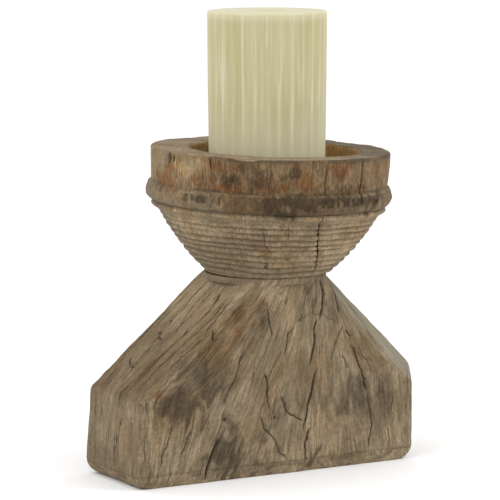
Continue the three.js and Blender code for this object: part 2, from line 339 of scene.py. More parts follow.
class Wire:
    """A node's output, on which a formula adds Math nodes."""

    def __init__(self, sheet, socket):
        self.sheet = sheet
        self.socket = socket

    def maths(self, operation, *values):
        return self.sheet.add("ShaderNodeMath", {"operation": operation}, dict(enumerate(values)))

    def __add__(self, other):
        return self.maths("ADD", self, other)

    def __sub__(self, other):
        return self.maths("SUBTRACT", self, other)

    def __rsub__(self, other):
        return self.maths("SUBTRACT", other, self)

    def __mul__(self, other):
        return self.maths("MULTIPLY", self, other)

    def __truediv__(self, other):
        return self.maths("DIVIDE", self, other)

    def __pow__(self, other):
        return self.maths("POWER", self, other)

    __radd__ = __add__
    __rmul__ = __mul__

    def bend(self, operation):
        """One of the Math operations on a single value, such as SINE or ABSOLUTE."""
        return self.maths(operation, self)

    def most(self, other):
        return self.maths("MAXIMUM", self, other)

    def rise(self, low, high):
        """0 at low and 1 at high, with a smooth way between them."""
        return self.sheet.add(
            "ShaderNodeMapRange", {"interpolation_type": "SMOOTHSTEP"},
            {"Value": self, "From Min": low, "From Max": high})


class Sheet:
    """A node tree written as expressions."""

    def __init__(self, tree):
        self.tree = tree

    def add(self, kind, settings=None, inputs=None, output=0):
        """Adds a node, its settings first and then its sockets, and returns one output."""
        node = self.tree.nodes.new(kind)
        for name, value in (settings or {}).items():
            if name == "stops":
                self.set_stops(node.color_ramp, value)
            else:
                setattr(node, name, value)
        for name, value in (inputs or {}).items():
            if isinstance(value, Wire):
                self.tree.links.new(value.socket, node.inputs[name])
            else:
                node.inputs[name].default_value = value
        return Wire(self, node.outputs[output]) if len(node.outputs) else node

    def set_stops(self, ramp, stops):
        while len(ramp.elements) < len(stops):
            ramp.elements.new(1)
        for element, (place, colour) in zip(ramp.elements, stops):
            element.position = place
            element.color = (*colour, 1)

    def mix(self, factor, first, second, blend="MIX"):
        """A colour between two, where 6 and 7 are the node's colour sockets and 2 its result."""
        sockets = {0: factor, 6: self.opaque(first), 7: self.opaque(second)}
        return self.add("ShaderNodeMix", {"data_type": "RGBA", "blend_type": blend}, sockets, 2)

    def opaque(self, colour):
        return colour if isinstance(colour, Wire) else (*colour, 1)

    def vector(self, operation, first, second):
        return self.add("ShaderNodeVectorMath", {"operation": operation}, {0: first, 1: second})

    def noise(self, place, scale, detail=2.0, seed=0.0, roughness=0.5):
        """Noise that repeats scale times a unit along each axis."""
        scaled = self.vector("MULTIPLY", place, scale)
        return self.add(
            "ShaderNodeTexNoise", {"noise_dimensions": "4D"},
            {"Vector": scaled, "W": seed, "Scale": 1.0, "Detail": detail, "Roughness": roughness})


class Finish(Sheet):
    """A material with one Principled shader."""

    def __init__(self, name):
        self.material = bpy.data.materials.new(name)
        self.material.use_nodes = True
        super().__init__(self.material.node_tree)
        self.shader = self.tree.nodes["Principled BSDF"]

    def number(self, name):
        return self.add("ShaderNodeAttribute", {"attribute_name": name}, output="Fac")

    def place(self, name):
        return self.add("ShaderNodeAttribute", {"attribute_name": name}, output="Vector")

    def stain(self, name, ragged, colour, tint):
        """A colour multiplied by a tint where a stain lies: whole where the stain is strong,
        broken up by noise where it is weak, and nothing outside it."""
        strength = self.number(name)
        cover = (strength * 1.1 + (ragged - 0.5) * 2.4).rise(-0.05, 1.1)
        return self.mix(cover * strength.rise(0.0, 0.35), colour, tint, "MULTIPLY")

    def object_place(self):
        """Object coordinates in millimetres."""
        place = self.add("ShaderNodeTexCoord", output="Object")
        return self.vector("MULTIPLY", place, (1 / MM,) * 3)

    def set(self, **sockets):
        """Sets the shader's sockets, whose names are written with _ for a space."""
        for name, value in sockets.items():
            socket = self.shader.inputs[name.replace("_", " ")]
            if isinstance(value, Wire):
                self.tree.links.new(value.socket, socket)
            else:
                socket.default_value = value

    def bump(self, height, distance, strength=1.0):
        self.set(Normal=self.add(
            "ShaderNodeBump", None,
            {"Height": height, "Distance": distance * MM, "Strength": strength}))


# ---- Materials --------------------------------------------------------------------------------

# What each stain multiplies the wood's colour by; on the bowl, pale also carries painted light and dark
# painted shade
STAIN_TINTS = {
    "amber": (1.30, 1.05, 0.62), "brown": (0.58, 0.49, 0.37), "rust": (0.86, 0.57, 0.38),
    "pale": (1.40, 1.39, 1.36), "dark": (0.36, 0.345, 0.33),
}


def aged_wood(name, seed, tones):
    """Dry weathered wood: mottled tone, long fibres and stains, with its cracks, holes and grooves
    painted dark as the shade inside them.
    """
    wood = Finish(name)
    grain = wood.place("grain")

    def noise(scale, detail, step, roughness=0.5):
        """Noise drawn out along the grain, with a seed of its own."""
        return wood.noise(grain, scale, detail, seed + step, roughness)

    def stained(colour, cover, *names):
        """The colour with these stains on it, all broken up by one noise."""
        for stain in names:
            colour = wood.stain(stain, cover, colour, STAIN_TINTS[stain])
        return colour

    mottle = noise((0.05, 0.05, 0.035), 3, 0)
    patch = noise((0.17, 0.17, 0.08), 4, 1, 0.6)
    streak = noise((0.85, 0.85, 0.06), 4, 2, 0.65)
    fibre = noise((1.9, 1.9, 0.12), 3, 3, 0.65)
    speck = noise((0.75, 0.75, 0.5), 4, 4, 0.75)
    warmth = noise((0.035, 0.035, 0.02), 2, 5).rise(0.48, 0.68)
    cloud = noise((0.30, 0.30, 0.14), 4, 6, 0.7)
    tuft = noise((0.75, 0.75, 0.17), 3, 7, 0.6)
    vein = noise((2.6, 2.6, 0.05), 2, 8, 0.6)

    tone = mottle * 0.16 + patch * 0.20 + streak * 0.28 + fibre * 0.12 + speck * 0.24
    tone = (tone - 0.5) * 3.2 + 0.5
    colour = wood.add("ShaderNodeValToRGB", {"stops": tones}, {"Fac": tone})
    colour = wood.mix(warmth * 0.35, colour, (0.95, 0.72, 0.45), "MULTIPLY")
    torn = cloud * 0.55 + streak * 0.45
    colour = stained(colour, cloud, "amber")
    colour = stained(colour, torn, "brown")
    colour = stained(colour, cloud, "rust", "pale")
    bleached = wood.mix(tone, (0.19, 0.163, 0.122), (0.305, 0.268, 0.207))
    colour = wood.mix(wood.number("bleach"), colour, bleached)
    colour = stained(colour, torn, "dark")

    vein = vein.rise(0.44, 0.33) * (0.25 + 0.75 * patch.rise(0.4, 0.6))
    hairline = streak.rise(0.37, 0.30) * fibre.rise(0.55, 0.40)
    fibrous = wood.number("fibrous")
    groove = wood.number("groove") * (0.55 + 0.45 * speck.rise(0.3, 0.7))
    marks = [
        (vein * 0.65, (0.055, 0.040, 0.025)),
        (tuft.rise(0.53, 0.68) * fibrous * 0.35, (0.31, 0.235, 0.140)),
        (tuft.rise(0.47, 0.34) * fibrous * 0.6, (0.055, 0.038, 0.024)),
        (hairline * 0.7, (0.06, 0.044, 0.028)),
        # Painted shade in the grooves and creases, then in the cracks and holes
        (groove * 0.9, (0.055, 0.039, 0.024)),
        (crack_cover(wood, fibre, patch), (0.024, 0.017, 0.010)),
    ]
    for share, mark in marks:
        colour = wood.mix(share, colour, mark)
    height = streak * 0.5 + fibre * 0.35 + speck * 0.15 - hairline * 0.4 - vein * 0.3
    wood.set(Base_Color=colour, Roughness=0.72 + 0.2 * patch, Specular_IOR_Level=0.25)
    wood.bump(height, 0.9, 0.65)
    return wood.material


def crack_cover(wood, fibre, patch):
    """1 in the cracks and holes, which are painted dark as the shade inside them; their edges are
    shaken by the fibres.
    """
    side = wood.number("crack_side").bend("ABSOLUTE")
    shaky = 0.75 + 0.5 * fibre
    crack = side.rise(1.15 * shaky, 0.35 * shaky) * wood.number("crack_strength")
    return (crack * (0.6 + 0.7 * patch)).most(wood.number("hole"))


def candle_wax():
    """Ivory wax with a fine pale bloom: painted brighter along the ribs as highlights, darker and
    yellower down the flutes as painted shade, and paler towards its foot as painted light.
    """
    wax = Finish("candle_wax")
    place = wax.object_place()
    flute = wax.number("flute")
    cloud = wax.noise(place, (0.09, 0.09, 0.012), 3, 1.0)
    haze = wax.noise(place, (0.45, 0.45, 0.022), 3, 2.0)
    rubbed = wax.number("rubbed")
    fine = wax.noise(place, (1.6, 1.6, 0.9), 2, 3.0)
    colour = wax.mix(cloud.rise(0.35, 0.65), (0.415, 0.380, 0.205), (0.485, 0.448, 0.280))
    # Painted shade: darker and yellower down the flutes
    colour = wax.mix(flute * 0.65, colour, (0.385, 0.337, 0.168))
    # Painted highlights: the pale bloom, kept mostly to the ribs
    colour = wax.mix(haze.rise(0.48, 0.7) * (1 - flute * 0.7) * 0.7, colour, (0.60, 0.552, 0.40))
    # Painted light paler towards the foot, and a paler top edge
    colour = wax.mix(rubbed, colour, (0.62, 0.58, 0.42))
    wax.set(Base_Color=colour, Roughness=0.42 + 0.2 * haze, Subsurface_Weight=0.35,
            Subsurface_Radius=(0.006, 0.0045, 0.002), Subsurface_Scale=1.0,
            Specular_IOR_Level=0.45)
    wax.bump(haze * 0.6 + fine * 0.4, 0.35, 0.5)
    return wax.material


def wick_cotton():
    """Unburnt cotton with fine fibres along its strands."""
    cotton = Finish("wick_cotton")
    place = cotton.object_place()
    fluff = cotton.noise(place, (6.0, 6.0, 2.0), 3, 4.0)
    colour = cotton.mix(fluff.rise(0.35, 0.65), (0.66, 0.60, 0.47), (0.86, 0.82, 0.72))
    cotton.set(Base_Color=colour, Roughness=0.85 + 0.1 * fluff, Sheen_Weight=0.4)
    cotton.bump(fluff, 0.15)
    return cotton.material


def dowel_beech():
    """Plain beech with short dark flecks along the dowel."""
    beech = Finish("dowel_beech")
    place = beech.object_place()
    fibre = beech.noise(place, (0.9, 0.9, 0.05), 3, 5.0)
    fleck = beech.noise(place, (2.5, 2.5, 0.5), 1, 6.0).rise(0.66, 0.74)
    colour = beech.mix(fibre.rise(0.35, 0.65), (0.42, 0.27, 0.14), (0.60, 0.42, 0.24))
    colour = beech.mix(fleck, colour, (0.26, 0.15, 0.07))
    beech.set(Base_Color=colour, Roughness=0.55 + 0.15 * fibre)
    beech.bump(fibre, 0.3)
    return beech.material


def clip_tinplate():
    """Pressed tinplate with rolling marks and a dull bloom."""
    tin = Finish("clip_tinplate")
    place = tin.object_place()
    rolled = tin.noise(place, (0.3, 4.0, 0.3), 2, 7.0)
    bloom = tin.noise(place, (0.4, 0.4, 0.4), 3, 8.0)
    colour = tin.mix(bloom.rise(0.4, 0.65), (0.62, 0.63, 0.64), (0.47, 0.47, 0.46))
    tin.set(Base_Color=colour, Roughness=0.28 + 0.25 * bloom + 0.1 * rolled, Metallic=0.95)
    tin.bump(rolled, 0.03)
    return tin.material


# ---- Base block -------------------------------------------------------------------------------

BASE_COLUMNS = {"front": 290, "right": 50, "back": 160, "left": 70}
# Bevels along the shoulders' edges, as their height down the face and their depth, at the
# shoulder's foot and at the neck
WORN_BEVEL = ((13.0, 5.0), (8.0, 3.5))
EASED_EDGE = ((4.0, 2.5), (4.0, 2.5))
EDGE_EASE = 2.4
LEFT_ARRIS_EASE = 6.5
LEAST_EASE = 0.8
SEARCH_REACH = 160.0
SEARCH_STEPS = 24
# The fibres' fan at the neck and at the foot: where its middle stands, and its half width
FAN_MIDDLE = (25.0, -1.0)
FAN_HALF_WIDTH = (30.0, 105.0)
# Millimetres across the block for one unit of fibre
FIBRE_REACH = 85.0
# How much of the worn bevel's height is bleached
BLEACHED_SHARE = 0.72


def outline_x(side, z):
    """Where the block's front outline stands at a height, on its left (-1) or right (1)."""
    foot, shoulder = (BASE_LOW[0], LEFT_SHOULDER) if side < 0 else (BASE_HIGH[0], RIGHT_SHOULDER)
    top = NECK[0] + side * SHOULDER_TOP_HALF
    return np.interp(z, [0, shoulder[1], NECK[2]], [foot, shoulder[0], top])


def shoulder_distance(side, x, z):
    """Height over a shoulder's slope, square to it."""
    corner = LEFT_SHOULDER if side < 0 else RIGHT_SHOULDER
    run = NECK[0] + side * SHOULDER_TOP_HALF - corner[0]
    climb = NECK[2] - corner[1]
    length = math.hypot(run, climb)
    return ((x - corner[0]) * side * climb + (z - corner[1]) * abs(run)) / length


def foot_inset(radius, z):
    """How far a round foot corner draws in at a height."""
    below = radius - np.minimum(z, radius)
    return radius - np.sqrt(radius ** 2 - below ** 2)


def bevel_at(bevel, corner, z):
    """A bevel's height down the face and its depth, at a height of the block."""
    up = np.clip((z - corner[1]) / (NECK[2] - corner[1]), 0, 1)
    low, high = bevel
    return [a + (b - a) * up for a, b in zip(low, high)]


def edge_cut(side, face, shoulder, z, bevel):
    """Distance outside the bevel between a face and a shoulder."""
    corner = LEFT_SHOULDER if side < 0 else RIGHT_SHOULDER
    tall, deep = bevel_at(bevel, corner, z)
    run = abs(NECK[0] + side * SHOULDER_TOP_HALF - corner[0])
    tall *= run / math.hypot(run, NECK[2] - corner[1])
    return (face / deep + shoulder / tall + 1) / np.hypot(1 / deep, 1 / tall)


def block_distance(points, ease):
    """Distance outside the base block, with its edges eased."""
    x, y, z = np.moveaxis(points, -1, 0)
    foot = FOOT_BEVEL_DEPTH * np.clip(1 - z / FOOT_BEVEL_HEIGHT, 0, 1)
    front = -y - HALF_DEPTH + foot
    back = y - HALF_DEPTH + foot
    lean_out = (LEFT_SHOULDER[0] - BASE_LOW[0]) * np.clip(z / LEFT_SHOULDER[1], 0, 1)
    left_end = BASE_LOW[0] + lean_out + foot_inset(LEFT_FOOT_ROUND, z) - x
    right_end = x - BASE_HIGH[0] + foot_inset(RIGHT_FOOT_ROUND, z)
    left = shoulder_distance(-1, x, z)
    right = shoulder_distance(1, x, z)
    radius = np.hypot(x - NECK[0], y - NECK[1])
    cone = (radius - NECK_RADIUS - CORNER_FLARE * (NECK[2] - z)) / math.hypot(1, CORNER_FLARE)
    cuts = [
        back, soft_max(left_end, left, ease), soft_max(right_end, right, ease), cone,
        edge_cut(1, front, right, z, WORN_BEVEL), edge_cut(1, back, right, z, EASED_EDGE),
        edge_cut(-1, front, left, z, EASED_EDGE), edge_cut(-1, back, left, z, EASED_EDGE),
    ]
    block = front
    for cut in cuts:
        block = soft_max(block, cut, ease)
    low = NECK[2] - COLLAR_HEIGHT
    collar_radius = np.interp(z, [low - COLLAR_BLEND, low], [HALF_DEPTH - 2, COLLAR_RADIUS])
    return -soft_max(-block, collar_radius - radius, COLLAR_FILLET)


def edge_ease(points, wear):
    """How far the block's edges are worn round: most on its front left arris, least at its neck."""
    x, y, z = np.moveaxis(points, -1, 0)
    ease = EDGE_EASE + 1.4 * wear(points, 17) + 0.9 * wear(points, 5)
    arris = smooth_step(-5, -30, x) * smooth_step(45, 75, z) * smooth_step(10, -15, y)
    ease += LEFT_ARRIS_EASE * arris
    ease *= 1 - 0.7 * smooth_step(NECK[2] - 24, NECK[2] - 6, z)
    return np.maximum(ease, LEAST_EASE)


def flat_rows(z):
    """Points round a plain block with the same outline, one row for each height."""
    front, right, back, left = ((np.arange(count) + 0.5) / count for count in BASE_COLUMNS.values())
    low, high = outline_x(-1, z), outline_x(1, z)
    x = np.hstack([
        low + (high - low) * front, high + 0 * right, high + (low - high) * back, low + 0 * left])
    y = HALF_DEPTH * np.concatenate([0 * front - 1, 2 * right - 1, 0 * back + 1, 1 - 2 * left])
    return np.stack([x, y + 0 * x, z + 0 * x], axis=-1)


def base_rows(heights, wear):
    """Points of the block's sides, one row for each height, found outwards from its axis."""
    plain = flat_rows(heights[:, None])
    start = plain.copy()
    start[..., :2] = NECK[:2]
    way = plain - start
    way /= np.linalg.norm(way, axis=-1, keepdims=True)
    near = np.zeros(plain.shape[:2])
    far = np.full(plain.shape[:2], SEARCH_REACH)
    for _ in range(SEARCH_STEPS):
        middle = (near + far) / 2
        points = start + way * middle[..., None]
        outside = block_distance(points, edge_ease(points, wear)) > 0
        near = np.where(outside, near, middle)
        far = np.where(outside, middle, far)
    return start + way * near[..., None]


def grain_across(x, z):
    """Which fibre of the block passes through a place: they fan out from the neck, follow the
    outline near the ends and run straighter between."""
    fibres = np.linspace(-1.4, 1.4, 57)
    heights = np.linspace(-2, NECK[2] + 2, 90)
    down = ((NECK[2] - heights) / NECK[2])[:, None]
    middle, half = (at_neck + (at_foot - at_neck) * down
                    for at_neck, at_foot in (FAN_MIDDLE, FAN_HALF_WIDTH))
    straight = middle + half * fibres
    left, right = outline_x(-1, heights)[:, None], outline_x(1, heights)[:, None]
    outline = (left + right) / 2 + (right - left) / 2 * fibres
    follow = smooth_step(0.35, 1.0, np.abs(fibres))
    lines = straight + (outline - straight) * follow
    across = np.stack([np.interp(x, row, fibres) for row in lines])
    level = np.clip((z - heights[0]) / (heights[1] - heights[0]), 0, len(heights) - 1.001)
    below = level.astype(int)
    part = level - below
    each = np.arange(len(x))
    return across[below, each] * (1 - part) + across[below + 1, each] * part


def fibre_place(points):
    """Places counted in millimetres across the fibres, through the block and up."""
    across = grain_across(points[:, 0], points[:, 2])
    return np.stack([across * FIBRE_REACH, points[:, 1], points[:, 2]], axis=-1)


FRONT_CRACKS = [
    (0.7, 1.6, [(31, 123), (34, 115), (31, 98)]),
    (0.5, 0.9, [(26, 113), (25, 100)]),
    (0.75, 1.7, [(28, 99), (27, 85), (24, 69)]),
    (0.75, 1.8, [(29, 68), (25, 51), (21, 34), (19, 26)]),
    (0.75, 1.7, [(24, 28), (20, 18), (20, 8)]),
    (0.6, 1.2, [(-8, 109), (-5, 90)]),
    (0.5, 0.9, [(18, 103), (16, 97)]),
    (0.6, 1.2, [(11, 94), (7, 90), (5, 76)]),
    (0.5, 0.9, [(3, 81), (-7, 64)]),
    (0.65, 1.3, [(-10, 67), (-7, 57), (-8, 49)]),
    (0.6, 1.2, [(-9, 56), (-6, 42)]),
    (0.65, 1.3, [(2, 51), (8, 39), (19, 33)]),
    (0.6, 1.2, [(-13, 41), (-10, 31), (-5, 26), (2, 14), (8, 9)]),
    (0.5, 0.8, [(33, 16), (28, 8)]),
    (0.6, 1.1, [(40, 120), (44, 111), (46, 101)]),
    (0.7, 1.4, [(51, 90), (54, 85)]),
    (0.7, 1.5, [(54, 80), (58, 74), (64, 58), (67, 48)]),
    (0.65, 1.3, [(67, 48), (70, 34), (69, 9)]),
    (0.5, 0.9, [(49, 94), (43, 82), (39, 70)]),
    (0.5, 0.8, [(48, 74), (53, 64)]),
    (0.5, 0.8, [(84, 24), (84, 8)]),
    (0.6, 1.1, [(-76, 40), (-86, 13)]),
    (0.6, 1.1, [(-25, 84), (-31, 66), (-37, 56)]),
    (0.6, 1.0, [(-32, 64), (-40, 50)]),
    (0.9, 1.9, [(-42, 28), (-48, 20), (-52, 9), (-53, 2)]),
    (0.75, 1.6, [(-50, 105), (-46, 98), (-47, 89)]),
    (0.45, 0.4, [(12, 97), (22, 102), (33, 101), (46, 93)]),
    (0.5, 0.8, [(-16, 75), (-20, 60)]),
]
SHOULDER_CRACKS = [
    (0.8, 1.6, [(17, 121), (13, 96), (9, 80), (5, 62)]),
    (0.85, 1.7, [(-8, 120), (-16, 106), (-14, 92), (-9, 76), (-8, 64)]),
    (0.8, 1.6, [(-19, 122), (-25, 104), (-22, 88), (-18, 74), (-22, 60)]),
    (0.7, 1.3, [(1, 118), (-2, 100), (1, 82)]),
    (0.65, 1.2, [(16, 91), (10, 88), (3, 86)]),
    (0.65, 1.2, [(19, 74), (14, 72), (8, 70)]),
    (0.5, 0.9, [(26, 112), (23, 86)]),
    (0.5, 0.9, [(-27, 118), (-30, 92), (-28, 70)]),
    (0.5, 0.9, [(29, 104), (27, 78), (22, 60)]),
    (0.5, 0.8, [(7, 122), (4, 104), (-4, 90)]),
]
END_CRACKS = [
    (0.6, 1.1, [(-11, 44), (-3, 21), (-3, 9)]),
    (0.5, 0.8, [(6, 38), (6, 23)]),
]
PIN_HOLES = [((-2, 37), (1.1, 1.1), 1.0), ((-39, 39), (1.3, 1.1), 0.9)]
HOLE_DEPTH = 1.6


def base_zones(points, normals):
    """1 on the block's front, its back, both its ends, its left end and its slopes."""
    front = smooth_step(0.55, 0.85, -normals[:, 1])
    back = smooth_step(0.55, 0.85, normals[:, 1])
    ends = (1 - front) * (1 - back)
    left = ends * (points[:, 0] < NECK[0])
    slope = smooth_step(0.25, 0.5, normals[:, 2])
    return front, back, ends, left, slope


def base_marks(points, zones, wander, fibre):
    """The block's cracks and pin holes, and the places of its points on its front."""
    front, back, ends, left, slope = zones
    x, y, z = points.T
    shaken = 0.8 * sway(wander, points, 7.0, 50) + 0.55 * sway(wander, points, 2.0, 90)
    on_front = np.stack([x, z], axis=-1) + shaken
    on_end = np.stack([y, z], axis=-1) + shaken
    cracks = Cracks(len(points))
    cracks.add_lines(on_front, FRONT_CRACKS, front)
    cracks.add_lines(on_end, SHOULDER_CRACKS, left * slope)
    cracks.add_lines(on_end, END_CRACKS, left * (1 - slope))
    across = fibre[:, 0] + 0.9 * shaken[:, 0]
    cracks.add_fibres(across, z, (-95, 95), 80, 11, front)
    cracks.add_fibres(across, z, (-95, 95), 110, 12, back)
    cracks.add_fibres(y + shaken[:, 0], z, (-34, 34), 44, 13, ends)
    return cracks, front * spots(on_front, PIN_HOLES), on_front


FRONT_DARK = [
    ((-70, 48), (22, 17), 0.95), ((-54, 57), (17, 12), 0.8), ((-60, 41), (14, 10), 0.75),
    ((-41, 17), (11, 14), 1.15), ((-35, 35), (7, 10), 0.6), ((-37, 12), (13, 10), 0.9),
    ((-17, 8), (12, 5), 0.5), ((-48, 10), (8, 8), 0.6), ((56, 46), (26, 16), 0.62),
    ((28, 46), (20, 12), 0.45), ((80, 42), (14, 20), 0.5), ((0, 48), (16, 10), 0.35),
    ((-61, 74), (16, 13), 0.8), ((23, 14), (8, 6), 0.6), ((0, 36), (12, 12), 0.4),
    ((40, 98), (8, 14), 0.35), ((-12, 100), (8, 12), 0.4), ((18, 104), (5, 12), 0.45),
    ((4, 119), (8, 3), 0.55), ((28, 118), (9, 4), 0.6), ((-10, 27), (7, 5), 0.5),
]
FRONT_BROWN = [
    ((-28, 93), (14, 24), 0.8), ((-18, 107), (12, 16), 0.6), ((-43, 79), (15, 20), 1.1),
    ((-84, 64), (12, 10), 0.45), ((64, 80), (14, 12), 0.5), ((72, 66), (14, 9), 0.5),
    ((45, 84), (10, 8), 0.4), ((14, 62), (10, 8), 0.35), ((-36, 60), (12, 12), 0.5),
    ((60, 28), (16, 14), 0.3),
]
FRONT_RUST = [
    ((-24, 95), (7, 16), 0.5), ((22, 14), (5, 4), 0.4), ((-86, 66), (10, 9), 0.5),
]
FRONT_AMBER = [
    ((-36, 100), (12, 20), 0.3), ((-60, 66), (16, 8), 0.2), ((-20, 68), (14, 10), 0.2),
]
FRONT_FIBROUS = [
    ((-26, 96), (16, 26), 1.0), ((-43, 78), (14, 20), 1.2), ((-30, 16), (22, 14), 0.9),
    ((-74, 30), (18, 30), 0.6), ((70, 40), (26, 30), 0.5),
]
FRONT_PALE = [
    ((-54, 47), (5, 6), 0.7), ((-60, 27), (9, 18), 0.3), ((12, 83), (16, 14), 0.45),
    ((44, 88), (18, 16), 0.35), ((36, 25), (24, 20), 0.5), ((-92, 28), (8, 22), 0.4),
    ((-8, 20), (16, 12), 0.5), ((88, 22), (12, 20), 0.4), ((10, 104), (16, 10), 0.6),
    ((-6, 121), (20, 5), 1.0), ((0, 66), (16, 12), 0.45), ((8, 6), (40, 8), 0.45),
    ((-4, 112), (22, 9), 1.1),
]


def worn_band(points, ragged):
    """1 on the worn bevel along the right shoulder's front edge, with a ragged lower edge and a
    ragged fade inwards."""
    x, y, z = points.T
    tall, deep = bevel_at(WORN_BEVEL, RIGHT_SHOULDER, z)
    tall *= BLEACHED_SHARE
    below = ragged - shoulder_distance(1, x, z)
    inwards = y + HALF_DEPTH + 3 * ragged
    band = smooth_step(tall + 1.0, tall - 0.6, below) * smooth_step(deep + 16, deep - 1, inwards)
    return band * smooth_step(NECK[0] + 12, NECK[0] + 30, x)


def edge_lines(points, wander):
    """Painted shade in a line under the collar at the front, and a dark line along the worn bevel's
    lower edge.
    """
    x, y, z = points.T
    under = NECK[2] - COLLAR_HEIGHT - 1.6 + 0.7 * wander(points, 6)
    collar = ridge(z, under, 0.55) * smooth_step(28, 22, np.abs(x - NECK[0]))
    collar *= smooth_step(-0.5, 0.3, wander(points, 11)) * (y < 0)
    wide = worn_band(points, 1.2 * wander(points, 7))
    border = 4 * wide * (1 - wide)
    return np.maximum(0.7 * collar, 0.35 * border)


def close_base(sides):
    """All the block's rows, from its sole up its sides, over its neck and down its bore, the
    poles at both ends, and which rows are the sides."""
    way = sides[-1] - NECK
    way[:, 2] = 0
    way /= np.linalg.norm(way, axis=1, keepdims=True)
    bore = NECK + way * BORE_RADIUS
    deep = np.array([0, 0, NECK[2] - DOWEL_LOW[2] + GAP])
    sole = rings_between(0, sides[0], CLOSING)
    top = rings_between(sides[-1], bore, (0.04, 0.3, 0.65, 1.0))
    for ring in top:
        ring[:, 2] = NECK[2]
    rows = np.concatenate([sole, sides, top, [bore - deep]])
    return rows, ((0, 0, 0), NECK - deep), slice(len(sole), len(sole) + len(sides))


def stain_base(skin, points, blurred, zones, wander, bevel_line):
    """Keeps the block's painted shade in its grooves, and its stains, torn fibres and bleached bevel.
    """
    front, _, _, left, slope = zones
    z = points[:, 2]

    def spotted(places):
        return front * spots(blurred, places)

    below_collar = smooth_step(NECK[2] - 4, NECK[2] - 12, z)
    shoulder_top = left * slope * smooth_step(80, 118, z)
    foot = smooth_step(FOOT_BEVEL_HEIGHT + 0.5, FOOT_BEVEL_HEIGHT - 1.5, z)
    mould = foot * smooth_step(0.0, 0.5, wander(points, (6, 6, 3)))
    browned = left * (0.2 + 0.2 * slope) * (1 - shoulder_top) * below_collar
    band = worn_band(points, 1.2 * wander(points, 7)) * smooth_step(NECK[2], 112, z)
    worn_pale = np.maximum(0.4 * foot, shoulder_top)
    # Painted shade along the foot bevel's line and under the collar
    skin.store("groove", np.maximum(1.2 * bevel_line, edge_lines(points, wander)))
    skin.store("amber", np.maximum(spotted(FRONT_AMBER), 0.16 * left * slope * below_collar))
    skin.store("fibrous", 0.8 * spotted(FRONT_FIBROUS))
    skin.store("dark", np.maximum(spotted(FRONT_DARK), 0.5 * mould))
    skin.store("brown", np.maximum(spotted(FRONT_BROWN), browned))
    skin.store("rust", spotted(FRONT_RUST))
    skin.store("pale", np.maximum(spotted(FRONT_PALE), worn_pale))
    skin.store("bleach", 0.8 * band)


def base_block(wood):
    """The base block: a flared slab with soft worn edges, deep cracks and a bevelled foot."""
    undulation, wander = Noise(1), Noise(2)
    heights = np.concatenate([
        np.linspace(0, 9, 15), np.linspace(9, 117, 124)[1:], np.linspace(117, NECK[2], 16)[1:]])
    sides = base_rows(heights, Noise(3))
    normals = row_normals(sides)
    normals[:, :, 2] *= smooth_step(0, 5, NECK[2] - sides[:, :, 2])
    points = sides.reshape(-1, 3)
    directions = normals.reshape(-1, 3)
    fibre = fibre_place(points)
    zones = base_zones(points, directions)
    cracks, holes, on_front = base_marks(points, zones, wander, fibre)
    hewn = 0.32 * undulation(points, 26) + 0.15 * undulation(points, 8)
    hewn += 0.16 * undulation(fibre, (2.2, 2.2, 34))
    bevel_line = ridge(points[:, 2], FOOT_BEVEL_HEIGHT + 0.3 * wander(points, 9), 0.5)
    bevel_line *= 0.6 + 0.4 * wander(points, 14)
    offset = hewn - np.maximum(cracks.depth, HOLE_DEPTH * holes) - 0.5 * bevel_line
    points = points + directions * offset[:, None]

    rows, poles, shown = close_base(points.reshape(sides.shape))
    mesh = closed_mesh("carved_base", rows, *poles)
    store(mesh, "grain", fibre_place(rows.reshape(-1, 3)))
    skin = Skin(mesh, rows, shown)
    skin.store_cracks(cracks, holes)
    blurred = on_front + 6 * sway(undulation, points, 14, 40) + 2.5 * sway(wander, points, 5, 40)
    blurred[:, 1] += 13 * undulation(fibre, (2.4, 2.4, 45))
    stain_base(skin, points, blurred, zones, wander, bevel_line)
    mesh.materials.append(wood)
    base = add_piece("carved_base", mesh)
    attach(base, "holder")
    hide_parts("base_block")
    return base


# ---- Geometry Nodes ---------------------------------------------------------------------------

SOCKETS = {
    "Geometry": "NodeSocketGeometry", "Material": "NodeSocketMaterial",
}


def shaping_tree(name, inputs, shape):
    """A Geometry Nodes tree with named inputs. shape writes its nodes and returns the geometry,
    which then leaves through Realize Instances and Set Material."""
    tree = bpy.data.node_groups.new(name, "GeometryNodeTree")
    for title in ["Geometry", "Material", *inputs]:
        kind = SOCKETS.get(title, "NodeSocketFloat")
        tree.interface.new_socket(title, in_out="INPUT", socket_type=kind)
    tree.interface.new_socket("Geometry", in_out="OUTPUT", socket_type="NodeSocketGeometry")
    sheet = Sheet(tree)
    entry = tree.nodes.new("NodeGroupInput")
    given = {socket.name: Wire(sheet, socket) for socket in entry.outputs if socket.name}
    made = sheet.add("GeometryNodeRealizeInstances", None, {"Geometry": shape(sheet, given)})
    made = sheet.add("GeometryNodeSetMaterial", None, {"Geometry": made, "Material": given["Material"]})
    sheet.add("NodeGroupOutput", None, {"Geometry": made})
    return tree


def shaped(name, mesh, tree, inputs):
    """A plain mesh made by running a tree on a mesh with these inputs."""
    blank = add_piece(name, mesh)
    modifier = blank.modifiers.new("shape", "NODES")
    modifier.node_group = tree
    for socket in tree.interface.items_tree:
        if socket.in_out == "INPUT" and socket.name in inputs:
            modifier[socket.identifier] = inputs[socket.name]
    bpy.context.view_layer.update()
    graph = bpy.context.evaluated_depsgraph_get()
    result = bpy.data.meshes.new_from_object(
        blank.evaluated_get(graph), preserve_all_data_layers=True, depsgraph=graph)
    blank.modifiers.remove(modifier)
    blank.data = result
    result.shade_smooth()
    return blank


def named(sheet, name):
    """A number that the mesh keeps under a name."""
    return sheet.add("GeometryNodeInputNamedAttribute", {"data_type": "FLOAT"}, {"Name": name})


